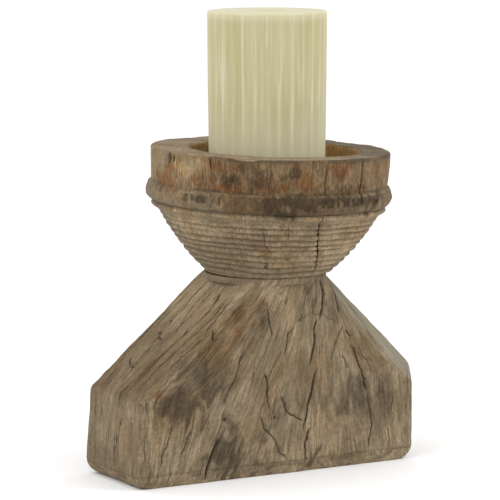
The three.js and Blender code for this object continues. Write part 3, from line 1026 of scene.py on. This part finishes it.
def carved(sheet, geometry, height, name, value):
    """The geometry moved along its normals by a height, with a number kept on it."""
    normal = sheet.add("GeometryNodeInputNormal")
    offset = sheet.add(
        "ShaderNodeVectorMath", {"operation": "SCALE"}, {0: normal, "Scale": height})
    kept = sheet.add(
        "GeometryNodeStoreNamedAttribute", {"data_type": "FLOAT", "domain": "POINT"},
        {"Geometry": geometry, "Name": name, "Value": value})
    return sheet.add("GeometryNodeSetPosition", None, {"Geometry": kept, "Offset": offset})


def turned_rings(sheet, given):
    """Shallow rings cut round the bowl's belly, where the belly attribute runs from 0 to 1."""
    belly, worn = named(sheet, "belly"), named(sheet, "groove")
    place = sheet.add("GeometryNodeInputPosition")
    seed = given["Seed"]
    spacing = sheet.noise(sheet.add("ShaderNodeCombineXYZ", None, {"X": belly * 5}), (1, 1, 1), 1, seed)
    sway = sheet.noise(place, (22, 22, 30), 2, seed)
    count = given["Rings"]
    phase = belly * count + (spacing - 0.5) * 1.6 + (sway - 0.5) * given["Wander"]
    tooth = (phase * math.pi).bend("SINE").bend("ABSOLUTE")
    cut = (1 - tooth) ** 1.3
    fade = sheet.noise(place, (30, 30, 90), 2, seed + 3).rise(0.3, 0.55)
    inside = belly.rise(0.005, 0.05) * (1 - belly.rise(0.97, 1.0)) * (belly.rise(-0.5, -0.2))
    cut = cut * (0.35 + 0.65 * fade) * inside
    swell = (sheet.noise(place, (45, 45, 160), 2, seed + 7) - 0.5) * inside
    height = (0 - cut) * given["Relief"] + swell * given["Relief"] * 0.7
    # The rings' cuts join the creases' painted shade, so the shader darkens them as shade
    return carved(sheet, given["Geometry"], height, "groove", worn.most(cut))


def pressed_ribs(sheet, given):
    """Narrow ribs with broad shallow flutes between them, up to a plain band at the top."""
    place = sheet.add("GeometryNodeInputPosition")
    centre = sheet.add("ShaderNodeCombineXYZ", None, {"X": given["Centre X"], "Y": given["Centre Y"]})
    local = sheet.vector("SUBTRACT", place, centre)
    parts = sheet.add("ShaderNodeSeparateXYZ", None, {0: local})
    x, y, z = (Wire(sheet, parts.socket.node.outputs[i]) for i in range(3))
    turn = x.maths("ARCTAN2", y, x)
    sway = sheet.noise(place, (25, 25, 12), 2, given["Seed"])
    phase = turn * (given["Ribs"] / (2 * math.pi)) + (sway - 0.5) * 0.1
    flute = 1 - (phase * math.pi).bend("COSINE").bend("ABSOLUTE") ** 7
    radius = (x * x + y * y) ** 0.5
    wall = radius.rise(given["Radius"] * 0.965, given["Radius"] * 0.975)
    below = 1 - z.rise(given["Plain from"], given["Plain from"] + 0.002)
    above = z.rise(given["Foot"], given["Foot"] + 0.001)
    uneven = sheet.noise(place, (75, 75, 5), 3, given["Seed"] + 2).rise(0.3, 0.62) * 0.8 + 0.25
    flute = flute * wall * below * above * uneven
    height = (0 - flute) * given["Depth"]
    return carved(sheet, given["Geometry"], height, "flute", flute.most(0.7 * (1 - wall)))


def twisted_strands(sheet, given):
    """Strands wound round each other on an upright line."""
    line = sheet.add(
        "GeometryNodeCurveSpiral", None,
        {"Resolution": 14, "Rotations": given["Turns"], "Start Radius": given["Wind"],
         "End Radius": given["Wind"], "Height": given["Height"]})
    section = sheet.add(
        "GeometryNodeCurvePrimitiveCircle", None, {"Resolution": 8, "Radius": given["Strand"]})
    strand = sheet.add(
        "GeometryNodeCurveToMesh", None,
        {"Curve": line, "Profile Curve": section, "Fill Caps": True})
    stand = sheet.add("ShaderNodeCombineXYZ", None, {
        "X": given["Centre X"], "Y": given["Centre Y"], "Z": given["Foot"]})
    each = sheet.add("GeometryNodePoints", None, {"Count": 4, "Position": stand})
    order = sheet.add("GeometryNodeInputIndex")
    turn = sheet.add("ShaderNodeCombineXYZ", None, {"Z": order * (math.pi / 2)})
    return sheet.add(
        "GeometryNodeInstanceOnPoints", None,
        {"Points": each, "Instance": strand, "Rotation": turn})


# ---- Bowl -------------------------------------------------------------------------------------

BOWL_COLUMNS = 400
BOWL_ROWS = {
    "belly": 100, "small bead": 15, "large bead": 34, "band": 34, "corner": 6, "rim": 15, "wall": 24,
}
FRONT_ANGLES = (-115, 62)
BOWL_CRACKS = [
    (0.55, 1.5, [(-59, 71), (-60, 79)]),
    (0.5, 0.9, [(-3, 50), (-4, 66), (-3, 79)]),
    (0.7, 1.7, [(18, 48), (18, 66), (18, 79)]),
    (0.55, 1.8, [(-4.5, 44), (-2.7, 33), (0.8, 23), (5.8, 14), (12.5, 5), (14.5, 2)]),
    (0.45, 0.8, [(-20, 40), (-19, 27)]),
    (0.45, 0.8, [(20, 30), (21, 21)]),
    (0.45, 0.9, [(-33, 34), (-32, 24), (-27, 17)]),
    (0.45, 0.8, [(-12, 14), (-11, 9)]),
    (0.45, 0.8, [(26, 39), (27, 31)]),
    (0.4, 0.7, [(-52, 30), (-50, 20)]),
    (0.5, 0.9, [(30, 60), (31, 71)]),
    (0.5, 0.9, [(-31, 60), (-30, 74)]),
    (0.5, 0.9, [(44, 66), (43, 79)]),
]
BOWL_SLOTS = [((-86, 75.5), (1.6, 3.8), 1.0), ((-82.5, 76), (1.1, 3.2), 0.8)]
BOWL_HOLES = [((29, 52), (1.5, 1.5), 1.0), ((-31, 9), (2.2, 1.8), 0.5)]
BOWL_SCOOP = [((-42.5, 76), (7.5, 9.5), 1.0)]
# Where the large bead is notched: rises and falls in height, and in angle
NOTCH_HEIGHTS = ((49.0, 50.5), (56.5, 54.5))
NOTCH_STRETCHES = (((-76, -72), (-46, -51)), ((-8, -4), (31, 27)))
# Heights of the two turned lines on the large bead, which are only painted, as lines of shade
BEAD_LINES = (55.2, 53.4)
# How far the mouth's edge is drawn back, and how far the wall is drawn past the floor
MOUTH_EASE = 1.5
WALL_PAST_FLOOR = 2.5
# The belly's share for points that are not on it
NOT_BELLY = -1.0


def bowl_angles():
    """Angles round the bowl from its front, closer together at the front and at its cracks."""
    fine = np.linspace(-180, 180, 7201)
    density = 1 + 1.3 * smooth_step(FRONT_ANGLES[0] - 15, FRONT_ANGLES[0], fine)
    density -= 1.3 * smooth_step(FRONT_ANGLES[1], FRONT_ANGLES[1] + 15, fine)
    for angle, width in ((-60, 1.5), (-5.3, 2.5), (16.5, 1.5), (-84, 3), (2, 4), (29, 1.5)):
        density += 2.5 * np.exp(-((fine - angle) / width) ** 2)
    reached = np.cumsum(density)
    return np.interp((np.arange(BOWL_COLUMNS) + 0.5) / BOWL_COLUMNS, reached / reached[-1], fine)


def bead_outline(bead, low_radius, high_radius, count, fullness):
    """Half-round bead between two creases."""
    low, high, radius = bead
    part = np.linspace(0, 1, count)
    crease = low_radius + (high_radius - low_radius) * part
    swell = np.sin(math.pi * part) ** fullness
    return np.stack([crease + (radius - crease) * swell, low + (high - low) * part], axis=-1)


def belly_outline(count):
    """The belly's curve, and how far along it each point is."""
    part = np.linspace(0, 1, count)[:, None]
    foot, pull, top = (np.array(point) for point in (BELLY_FOOT, BELLY_PULL, BELLY_TOP))
    curve = foot * (1 - part) ** 2 + 2 * pull * part * (1 - part) + top * part ** 2
    return curve, part[:, 0]


def bowl_outside():
    """Radius, height and belly share of the bowl's outside, from its foot to its rim."""
    belly, share = belly_outline(BOWL_ROWS["belly"])
    small = bead_outline(
        SMALL_BEAD, BELLY_TOP[0] + 0.4, LARGE_BEAD[2] - 5, BOWL_ROWS["small bead"], 0.8)
    large = bead_outline(
        LARGE_BEAD, SMALL_BEAD[2] - 1.2, BAND_FOOT_RADIUS - 0.4, BOWL_ROWS["large bead"], 0.55)
    up = np.linspace(0, 1, BOWL_ROWS["band"])[1:]
    band = np.stack([
        BAND_FOOT_RADIUS - 0.4 + (RIM_RADIUS + 0.4 - BAND_FOOT_RADIUS) * up ** 0.6,
        LARGE_BEAD[1] + (RIM_HEIGHT - RIM_EASE - LARGE_BEAD[1]) * up], axis=-1)
    corner = np.linspace(0, 1, BOWL_ROWS["corner"])[1:] * math.pi / 2
    edge = np.stack([
        RIM_RADIUS - RIM_EASE * (1 - np.cos(corner)),
        RIM_HEIGHT - RIM_EASE * (1 - np.sin(corner))], axis=-1)
    outline = np.concatenate([belly, small[1:], large[1:], band, edge])
    belly_share = np.full(len(outline), NOT_BELLY)
    belly_share[:len(share)] = share
    return outline[:, 0], outline[:, 1], belly_share


def lean_over(local):
    """Turns points about the neck, as the bowl leans."""
    axis = Vector((-LEAN_DIRECTION[1], LEAN_DIRECTION[0], 0)).normalized()
    from_upright = np.array(Matrix.Rotation(LEAN, 3, axis))
    return local @ from_upright.T + NECK


def bead_notches(turn, height, local, rough):
    """Short upright notches in the large bead, on two stretches of it."""
    where = np.maximum(*(zone(turn, *stretch) for stretch in NOTCH_STRETCHES))
    marks = rough(np.stack([turn, 0 * turn, 0.15 * height], axis=-1), (1.25, 1, 1))
    cut = smooth_step(-0.05, 0.3, marks + 0.3 * rough(local, 2))
    return zone(height, *NOTCH_HEIGHTS) * where * cut


def bowl_relief(turn, height, local, rough):
    """How far the bowl's outside stands proud of its outline, and its cracks, holes, scooped
    place and notches."""
    reach = math.radians(BAND_FOOT_RADIUS)
    place = np.stack([turn * reach, height], axis=-1)
    place += sway(rough, local, 5.0, 30) * (0.22, 0.9)
    lines = [
        (half_width, deepest, [(angle * reach, up) for angle, up in line])
        for half_width, deepest, line in BOWL_CRACKS]
    cracks = Cracks(len(turn))
    cracks.add_lines(place, lines)
    cracks.add_fibres(place[:, 0], height + 25, (-242, 242), 90, 14, smooth_step(46, 48, height))
    arc = np.stack([turn, height], axis=-1)
    holes = np.maximum(spots(arc, BOWL_SLOTS), spots(arc, BOWL_HOLES))
    scoop = spots(arc, BOWL_SCOOP)
    notches = bead_notches(turn, height, local, rough)
    band = smooth_step(LARGE_BEAD[1] - 1, LARGE_BEAD[1] + 1.5, height)
    tufts = 0.35 * rough(local, (3.0, 3.0, 16)) + 0.2 * rough(local + 9, (1.6, 1.6, 9))
    relief = 0.5 * rough(local, 24) + 0.2 * rough(local, 8)
    relief += band * tufts * (1 - 0.75 * smooth_step(74.5, 77.5, height))
    relief += zone(height, (45, 47), (59.5, 57.5)) * 0.35 * rough(local, (5, 5, 3))
    relief -= 1.6 * scoop + 1.0 * notches
    return relief - np.maximum(cracks.depth, 2.0 * holes), cracks, holes, scoop, notches


def bowl_inside(way, edge, rough):
    """Rings over the rim's top and rings down the hollow's wall, before the bowl leans."""
    shift = np.append(LEAN_DIRECTION * HOLLOW_SHIFT, 0)
    mouth = way * (HOLLOW_MOUTH + MOUTH_EASE) + shift
    mouth[:, 2] = RIM_HEIGHT
    parts = np.linspace(0, 1, BOWL_ROWS["rim"])[1:]
    rim = rings_between(edge, mouth, parts)
    for ring, part in zip(rim, parts):
        ring[:, 2] += 0.35 * rough(ring, 15) * min(1, 3 * part)
    wall = []
    top = RIM_HEIGHT - MOUTH_EASE
    bottom = HOLLOW_FLOOR - NECK[2] - WALL_PAST_FLOOR
    for part in np.linspace(0, 1, BOWL_ROWS["wall"]):
        radius = HOLLOW_MOUTH + (HOLLOW_FLOOR_RADIUS - HOLLOW_MOUTH) * part ** 1.1
        ring = way * radius + shift
        ring[:, 2] = top + (bottom - top) * part
        bumps = 0.5 * rough(ring, 11) + 0.25 * rough(ring, (3, 3, 12))
        wall.append(ring + way * bumps[:, None])
    return rim, wall


def close_bowl(outside, rim, wall, way):
    """All the leaning bowl's rows, from its bore over its underside, outside, rim and wall to the
    hollow's floor, the poles at both ends, and how many rows come before the outside."""
    upright = np.concatenate([outside, rim, wall])
    leaned = lean_over(upright.reshape(-1, 3)).reshape(upright.shape)
    outer, inner = leaned[:len(outside)], leaned[-len(wall):]
    outer[:, :, 2] = np.maximum(outer[:, :, 2], NECK[2] + GAP)
    inner[:, :, 2] = np.maximum(inner[:, :, 2], HOLLOW_FLOOR)
    middle = inner[-1].mean(axis=0)
    floor_rows = rings_between(middle, inner[-1], CLOSING[::-1])
    bore = NECK + way * BORE_RADIUS
    bore[:, 2] = NECK[2] + GAP
    bore_end = bore.copy()
    bore_end[:, 2] = DOWEL_HIGH[2] + GAP
    under = rings_between(bore, outer[0], (0, *CLOSING))
    rows = np.concatenate([[bore_end], under, leaned, floor_rows])
    rows[-len(floor_rows):, :, 2] = HOLLOW_FLOOR
    poles = (*NECK[:2], DOWEL_HIGH[2] + GAP), (*middle[:2], HOLLOW_FLOOR)
    return rows, poles, 1 + len(under)


def bowl_grooves(turn, height, local, rough, waver):
    """Painted shade in lines along the beads' creases and turned lines, and under the rim's ragged
    upper edge.
    """
    broken = smooth_step(-0.6, 0.4, rough(local + 60, (9, 9, 30)))
    lines = [
        (broken, LARGE_BEAD[1] + 0.3 + waver, 0.8),
        (0.8, LARGE_BEAD[0], 0.7),
        (0.7, SMALL_BEAD[0] - 0.4, 0.6),
        (0.6 * smooth_step(-25, -5, turn), BEAD_LINES[0] + waver, 0.35),
        (0.4 * smooth_step(-10, 10, turn), BEAD_LINES[1] + waver, 0.3),
    ]
    crease = sum(strength * ridge(height, middle, half) for strength, middle, half in lines)
    ragged = smooth_step(77.0, 77.9, height + 0.8 * rough(local, (3, 3, 9)))
    ragged *= smooth_step(-0.4, 0.1, rough(local, (7, 7, 9)))
    ragged *= zone(turn, (-80, -55), (95, 60))
    return np.clip(crease + 0.9 * ragged, 0, 1)


def bowl_stains(turn, height, local, rough, scoop, notches):
    """The painted shade in the grooves, and the stains and torn fibres of the bowl's outside, by name.
    """
    blurred = np.stack([turn, height], axis=-1)
    blurred += 3.5 * sway(rough, local, 9, 20) + 1.5 * sway(rough, local, 4, 20)
    blurred[:, 1] += 3.5 * rough(local + 70, (2.0, 2.0, 40))
    waver = 0.5 * rough(local, 9)
    edge = LARGE_BEAD[1] - 1.4 * zone(turn, (-80, -30), (60, 20)) + waver
    band = smooth_step(edge - 0.8, edge + 0.8, height)
    bead = smooth_step(44, 46, height) * (1 - band)
    band_brown = band * smooth_step(70, 50, turn) * (0.2 + 0.5 * smooth_step(-80, -45, turn))
    bead_brown = bead * smooth_step(-75, -35, turn) * (0.6 + 0.3 * smooth_step(20, -10, turn))
    return {
        # Painted shade in the notches, among the dark stains
        "dark": np.maximum.reduce([
            spots(blurred, BOWL_DARK), 0.95 * notches, 0.3 * bead, 0.4 * scoop]),
        "brown": np.maximum(band_brown, bead_brown),
        "amber": np.maximum(0.3 * band, 0.15 * (height < LARGE_BEAD[0])),
        "pale": spots(blurred, BOWL_PALE),
        "rust": spots(blurred, BOWL_RUST),
        "bleach": 0 * turn,
        "groove": bowl_grooves(turn, height, local, rough, waver),
        "fibrous": band,
    }


def turned_bowl(wood):
    """The bowl: turned belly with rings, two beads, a fibrous rim band and a worn hollow."""
    rough = Noise(21)
    angles = bowl_angles()
    radians = np.radians(angles)
    way = np.stack([np.sin(radians), -np.cos(radians), 0 * angles], axis=-1)
    radii, heights, belly = bowl_outside()
    outside = way * radii[:, None, None]
    outside[:, :, 2] = heights[:, None]
    normals = row_normals(outside)
    turn = np.broadcast_to(angles, outside.shape[:2]).ravel()
    height = np.broadcast_to(heights[:, None], outside.shape[:2]).ravel()
    relief, cracks, holes, scoop, notches = bowl_relief(turn, height, outside.reshape(-1, 3), rough)
    relief *= smooth_step(-0.5, 4, height)
    outside = outside + normals * relief.reshape(outside.shape[:2])[:, :, None]
    outside += np.append(LEAN_DIRECTION * OUTSIDE_SHIFT, 0)

    rim, wall = bowl_inside(way, outside[-1], rough)
    rows, poles, before = close_bowl(outside, rim, wall, way)
    mesh = closed_mesh("turned_bowl_blank", rows, *poles)
    after = before + len(outside)
    rim_rows = slice(after, after + len(rim))
    inside_rows = slice(after + len(rim), len(rows))
    skin = Skin(mesh, rows, slice(before, after))
    store(mesh, "grain", rows.reshape(-1, 3))
    skin.store("belly", np.repeat(belly, BOWL_COLUMNS), NOT_BELLY)
    skin.store_cracks(cracks, holes)
    further = {
        "dark": (rim_rows, 0.55 * zone(angles, (0, 50), (175, 115))),
        "pale": (rim_rows, 0.5 * zone(angles, (-175, -115), (20, -60))),
        "amber": (inside_rows, 1.2),
    }
    stains = bowl_stains(turn, height, outside.reshape(-1, 3), rough, scoop, notches)
    for name, values in stains.items():
        part, there = further.get(name, (None, 0.0))
        skin.store(name, values, part=part, there=there)
    tree = shaping_tree("turned_rings", ["Rings", "Relief", "Wander", "Seed"], turned_rings)
    bowl = shaped("turned_bowl", mesh, tree, {
        "Material": wood, "Rings": 10.0, "Relief": 1.5 * MM, "Wander": 1.3, "Seed": 3.0})
    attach(bowl, "holder")
    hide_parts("bowl")
    return bowl


BOWL_DARK = [
    ((-51, 66), (6, 6), 1.0), ((-20, 71), (7, 6), 1.05), ((-37, 68), (9, 10), 0.6),
    ((-22, 52), (20, 7), 1.1), ((0, 54), (16, 4), 0.7), ((24, 52), (16, 6), 0.85),
    ((-60, 53), (14, 4), 0.5), ((-44, 74), (7, 5), 0.5), ((34, 40), (14, 3), 0.35),
    ((-31, 9), (2.5, 2.2), 0.8), ((5, 61), (30, 3), 0.5), ((-4, 36), (16, 3), 0.3),
    ((58, 54), (9, 4), 0.4),
]
BOWL_RUST = [
    ((-52, 60), (10, 3.6), 1.0), ((-88, 62), (14, 8), 0.8), ((-64, 64), (9, 7), 0.7),
    ((-20, 77), (6, 3), 0.8), ((3, 74), (9, 6), 0.8), ((15, 60), (10, 4), 0.7),
    ((-30, 62), (12, 6), 0.75), ((-14, 66), (10, 9), 0.7), ((30, 72), (8, 8), 0.5),
    ((-56, 73), (7, 5), 0.6), ((-34, 22), (8, 5), 0.5), ((-46, 30), (9, 4), 0.4),
]
# Pale spots: the broad ones on the belly's left and right are painted light on its sides; the rest are
# paler wood
BOWL_PALE = [
    ((-76, 70), (12, 8), 0.85), ((-62, 72), (7, 7), 0.8), ((-31, 74), (5, 5), 0.35),
    ((-9, 72), (6, 6), 0.45), ((52, 68), (16, 12), 0.55), ((-82, 52), (18, 9), 0.5),
    ((-78, 32), (24, 16), 0.65), ((-50, 32), (16, 6), 0.6), ((22, 28), (34, 22), 1.1),
    ((-16, 30), (20, 16), 0.55), ((45, 66), (12, 10), 0.5), ((-7, 2.5), (22, 2.2), 0.6),
    ((10, 12), (20, 8), 0.45), ((-30, 14), (24, 6), 0.35), ((60, 30), (24, 20), 0.8),
]


# ---- Candle -----------------------------------------------------------------------------------

CANDLE_COLUMNS = 360
CANDLE_ROWS = 110
RIBS = 30
RIB_DEPTH = 0.7
PLAIN_TOP = 2.2
CANDLE_TAPER = 0.028
# Where the worn edges at its foot and its top turn into the wall
FOOT_ROUND = 0.9
TOP_ROUND = 1.2
DIMPLE_LIP = DIMPLE_RADIUS + 2
CLIP_RECESS = 2.1
CLIP_NECK_TOP = 9.1
CLIP_NECK_HOLE = 2.7
WICK_HOLE = 1.6


def candle_outline():
    """Radius and height of the candle's section, from the recess under it, round its outside,
    and back down the wick's hole."""
    recess = (CLIP_HIGH[0] - CLIP_LOW[0]) / 2 + GAP
    edge = CANDLE_RADIUS - FOOT_ROUND
    foot = [(recess, 0), ((recess + edge) / 2, 0), (edge, 0), (CANDLE_RADIUS - 0.3, 0.3)]
    levels = np.linspace(FOOT_ROUND, CANDLE_HEIGHT - TOP_ROUND, CANDLE_ROWS)
    wall = [(CANDLE_RADIUS, level) for level in levels]
    top_edge = [(CANDLE_RADIUS - inset, CANDLE_HEIGHT - drop)
                for inset, drop in ((0.15, 0.6), (0.5, 0.15))]
    top = [(radius, CANDLE_HEIGHT) for radius in np.linspace(CANDLE_RADIUS - 1.1, DIMPLE_LIP, 9)]
    dip = [
        (DIMPLE_LIP + (WICK_HOLE - DIMPLE_LIP) * part,
         CANDLE_HEIGHT - DIMPLE_DEPTH * (1 - math.cos(part * math.pi)) / 2)
        for part in np.linspace(0, 1, 14)[1:]]
    hole = [
        (WICK_HOLE, CLIP_NECK_TOP), (CLIP_NECK_HOLE, CLIP_NECK_TOP),
        (CLIP_NECK_HOLE, CLIP_RECESS), (recess, CLIP_RECESS)]
    return np.array([*foot, *wall, *top_edge, *top, *dip, *hole])


def ribbed_candle(wax):
    """The pillar candle, with its dimple, the wick's hole and the recess for the clip."""
    uneven = Noise(31)
    centre = (CANDLE_LOW + CANDLE_HIGH) / 2
    angles = np.arange(CANDLE_COLUMNS) * 2 * math.pi / CANDLE_COLUMNS
    outline = candle_outline()
    rows = np.stack([
        outline[:, :1] * np.cos(angles), outline[:, :1] * np.sin(angles),
        outline[:, 1:] * np.ones(CANDLE_COLUMNS)], axis=-1)
    swell = 0.22 * uneven(rows, (22, 22, 40)) * smooth_step(8, 30, outline[:, 0])[:, None]
    taper = CANDLE_TAPER * (outline[:, 1:] / CANDLE_HEIGHT - 0.55)
    spread = 1 + swell / np.maximum(outline[:, :1], 1) + taper
    rows[:, :, :2] *= spread[:, :, None]
    rows += [centre[0], centre[1], CANDLE_LOW[2]]
    mesh = closed_mesh("ribbed_candle_blank", rows)
    up = np.broadcast_to(outline[:, 1:], rows.shape[:2]).ravel()
    # The wax is painted paler towards the foot, as painted light against the shade the bowl casts
    # there, and paler at its top edge
    worn_foot = 0.75 * smooth_step(70, 22, up)
    worn_top = 0.45 * smooth_step(CANDLE_HEIGHT - 7, CANDLE_HEIGHT - 1, up)
    store(mesh, "rubbed", np.maximum(worn_foot, worn_top))
    tree = shaping_tree(
        "pressed_ribs",
        ["Centre X", "Centre Y", "Radius", "Ribs", "Depth", "Foot", "Plain from", "Seed"], pressed_ribs)
    candle = shaped("ribbed_candle", mesh, tree, {
        "Material": wax, "Centre X": centre[0] * MM, "Centre Y": centre[1] * MM,
        "Radius": CANDLE_RADIUS * MM, "Ribs": float(RIBS), "Depth": RIB_DEPTH * MM,
        "Foot": CANDLE_LOW[2] * MM, "Plain from": (CANDLE_HIGH[2] - PLAIN_TOP) * MM, "Seed": 5.0})
    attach(candle, "candle")
    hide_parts("candle")
    return candle


def braided_wick(cotton):
    """Four cotton strands wound together."""
    low, high = WICK_LOW * MM, WICK_HIGH * MM
    radius = (high[0] - low[0]) / 2
    strand = radius * 0.46
    tree = shaping_tree(
        "twisted_strands",
        ["Centre X", "Centre Y", "Foot", "Height", "Turns", "Wind", "Strand"], twisted_strands)
    wick = shaped("braided_wick", bpy.data.meshes.new("braided_wick_blank"), tree, {
        "Material": cotton, "Centre X": (low[0] + high[0]) / 2, "Centre Y": (low[1] + high[1]) / 2,
        "Foot": low[2] + strand / 2, "Height": high[2] - low[2] - strand, "Turns": 16.0,
        "Wind": radius - strand, "Strand": strand})
    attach(wick, "candle")
    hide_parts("wick")
    return wick


# ---- Studio -----------------------------------------------------------------------------------

def floor():
    """A plain pale floor just under the base."""
    half = 20.0
    level = -0.0002
    corners = [(-half, -half, level), (half, -half, level), (half, half, level), (-half, half, level)]
    mesh = bpy.data.meshes.new("studio_floor")
    mesh.from_pydata(corners, [], [(0, 1, 2, 3)])
    paint = Finish("floor_paint")
    paint.set(Base_Color=(0.93, 0.93, 0.93, 1), Roughness=0.9, Specular_IOR_Level=0.1)
    mesh.materials.append(paint.material)
    add_piece("studio_floor", mesh)


def facing(name, content, target, azimuth, elevation, distance):
    """A lamp or a camera that faces a target, from degrees round it and above it."""
    turn, rise = math.radians(azimuth), math.radians(elevation)
    way = Vector((math.sin(turn) * math.cos(rise), -math.cos(turn) * math.cos(rise), math.sin(rise)))
    holder = add_piece(name, content)
    holder.location = target + way * distance
    holder.rotation_euler = way.to_track_quat("Z", "Y").to_euler()
    return holder


def soft_light(name, azimuth, elevation, distance, size, power):
    """A large square lamp that faces the object."""
    lamp = bpy.data.lights.new(name, "AREA")
    lamp.shape = "SQUARE"
    lamp.size = size
    lamp.energy = power
    facing(name, lamp, Vector((0.0, 0.0, 0.14)), azimuth, elevation, distance)


def studio():
    """White surroundings, one broad light from the left and a weaker one from the right."""
    world = bpy.data.worlds.new("studio_white")
    bpy.context.scene.world = world
    world.use_nodes = True
    world.node_tree.nodes["Background"].inputs["Color"].default_value = (1, 1, 1, 1)
    world.node_tree.nodes["Background"].inputs["Strength"].default_value = 1.1
    soft_light("key_light", -72, 38, 2.2, 1.4, 12.0)
    soft_light("fill_light", 52, 30, 2.4, 1.6, 14.0)
    bpy.context.scene.view_settings.view_transform = "Standard"


def camera():
    """A long lens, a little above the object and turned towards its left end."""
    low, high = (Vector(corner) for corner in CAD_BOX)
    target = (low + high) / 2 + Vector((0.002, 0.005, -0.007))
    lens = bpy.data.cameras.new("camera")
    lens.sensor_width = 36.0
    lens.lens = 216.0
    bpy.context.scene.camera = facing("camera", lens, target, -30.2, 7.64, 1.9341)


# ---- The candlestick --------------------------------------------------------------------------

def paint(node, material):
    """Gives a CAD node its finish."""
    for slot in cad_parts[node].material_slots:
        slot.material = material


WOOD_TONES = [(0.2, (0.085, 0.060, 0.034)), (0.5, (0.190, 0.143, 0.084)), (0.8, (0.33, 0.265, 0.175))]
BOWL_TONES = [(0.2, (0.082, 0.058, 0.033)), (0.5, (0.204, 0.153, 0.092)), (0.8, (0.36, 0.285, 0.186))]

camera()
studio()
floor()
base_block(aged_wood("base_wood", 10.0, WOOD_TONES))
turned_bowl(aged_wood("bowl_wood", 40.0, BOWL_TONES))
ribbed_candle(candle_wax())
braided_wick(wick_cotton())
paint("neck_dowel", dowel_beech())
paint("wick_clip", clip_tinplate())
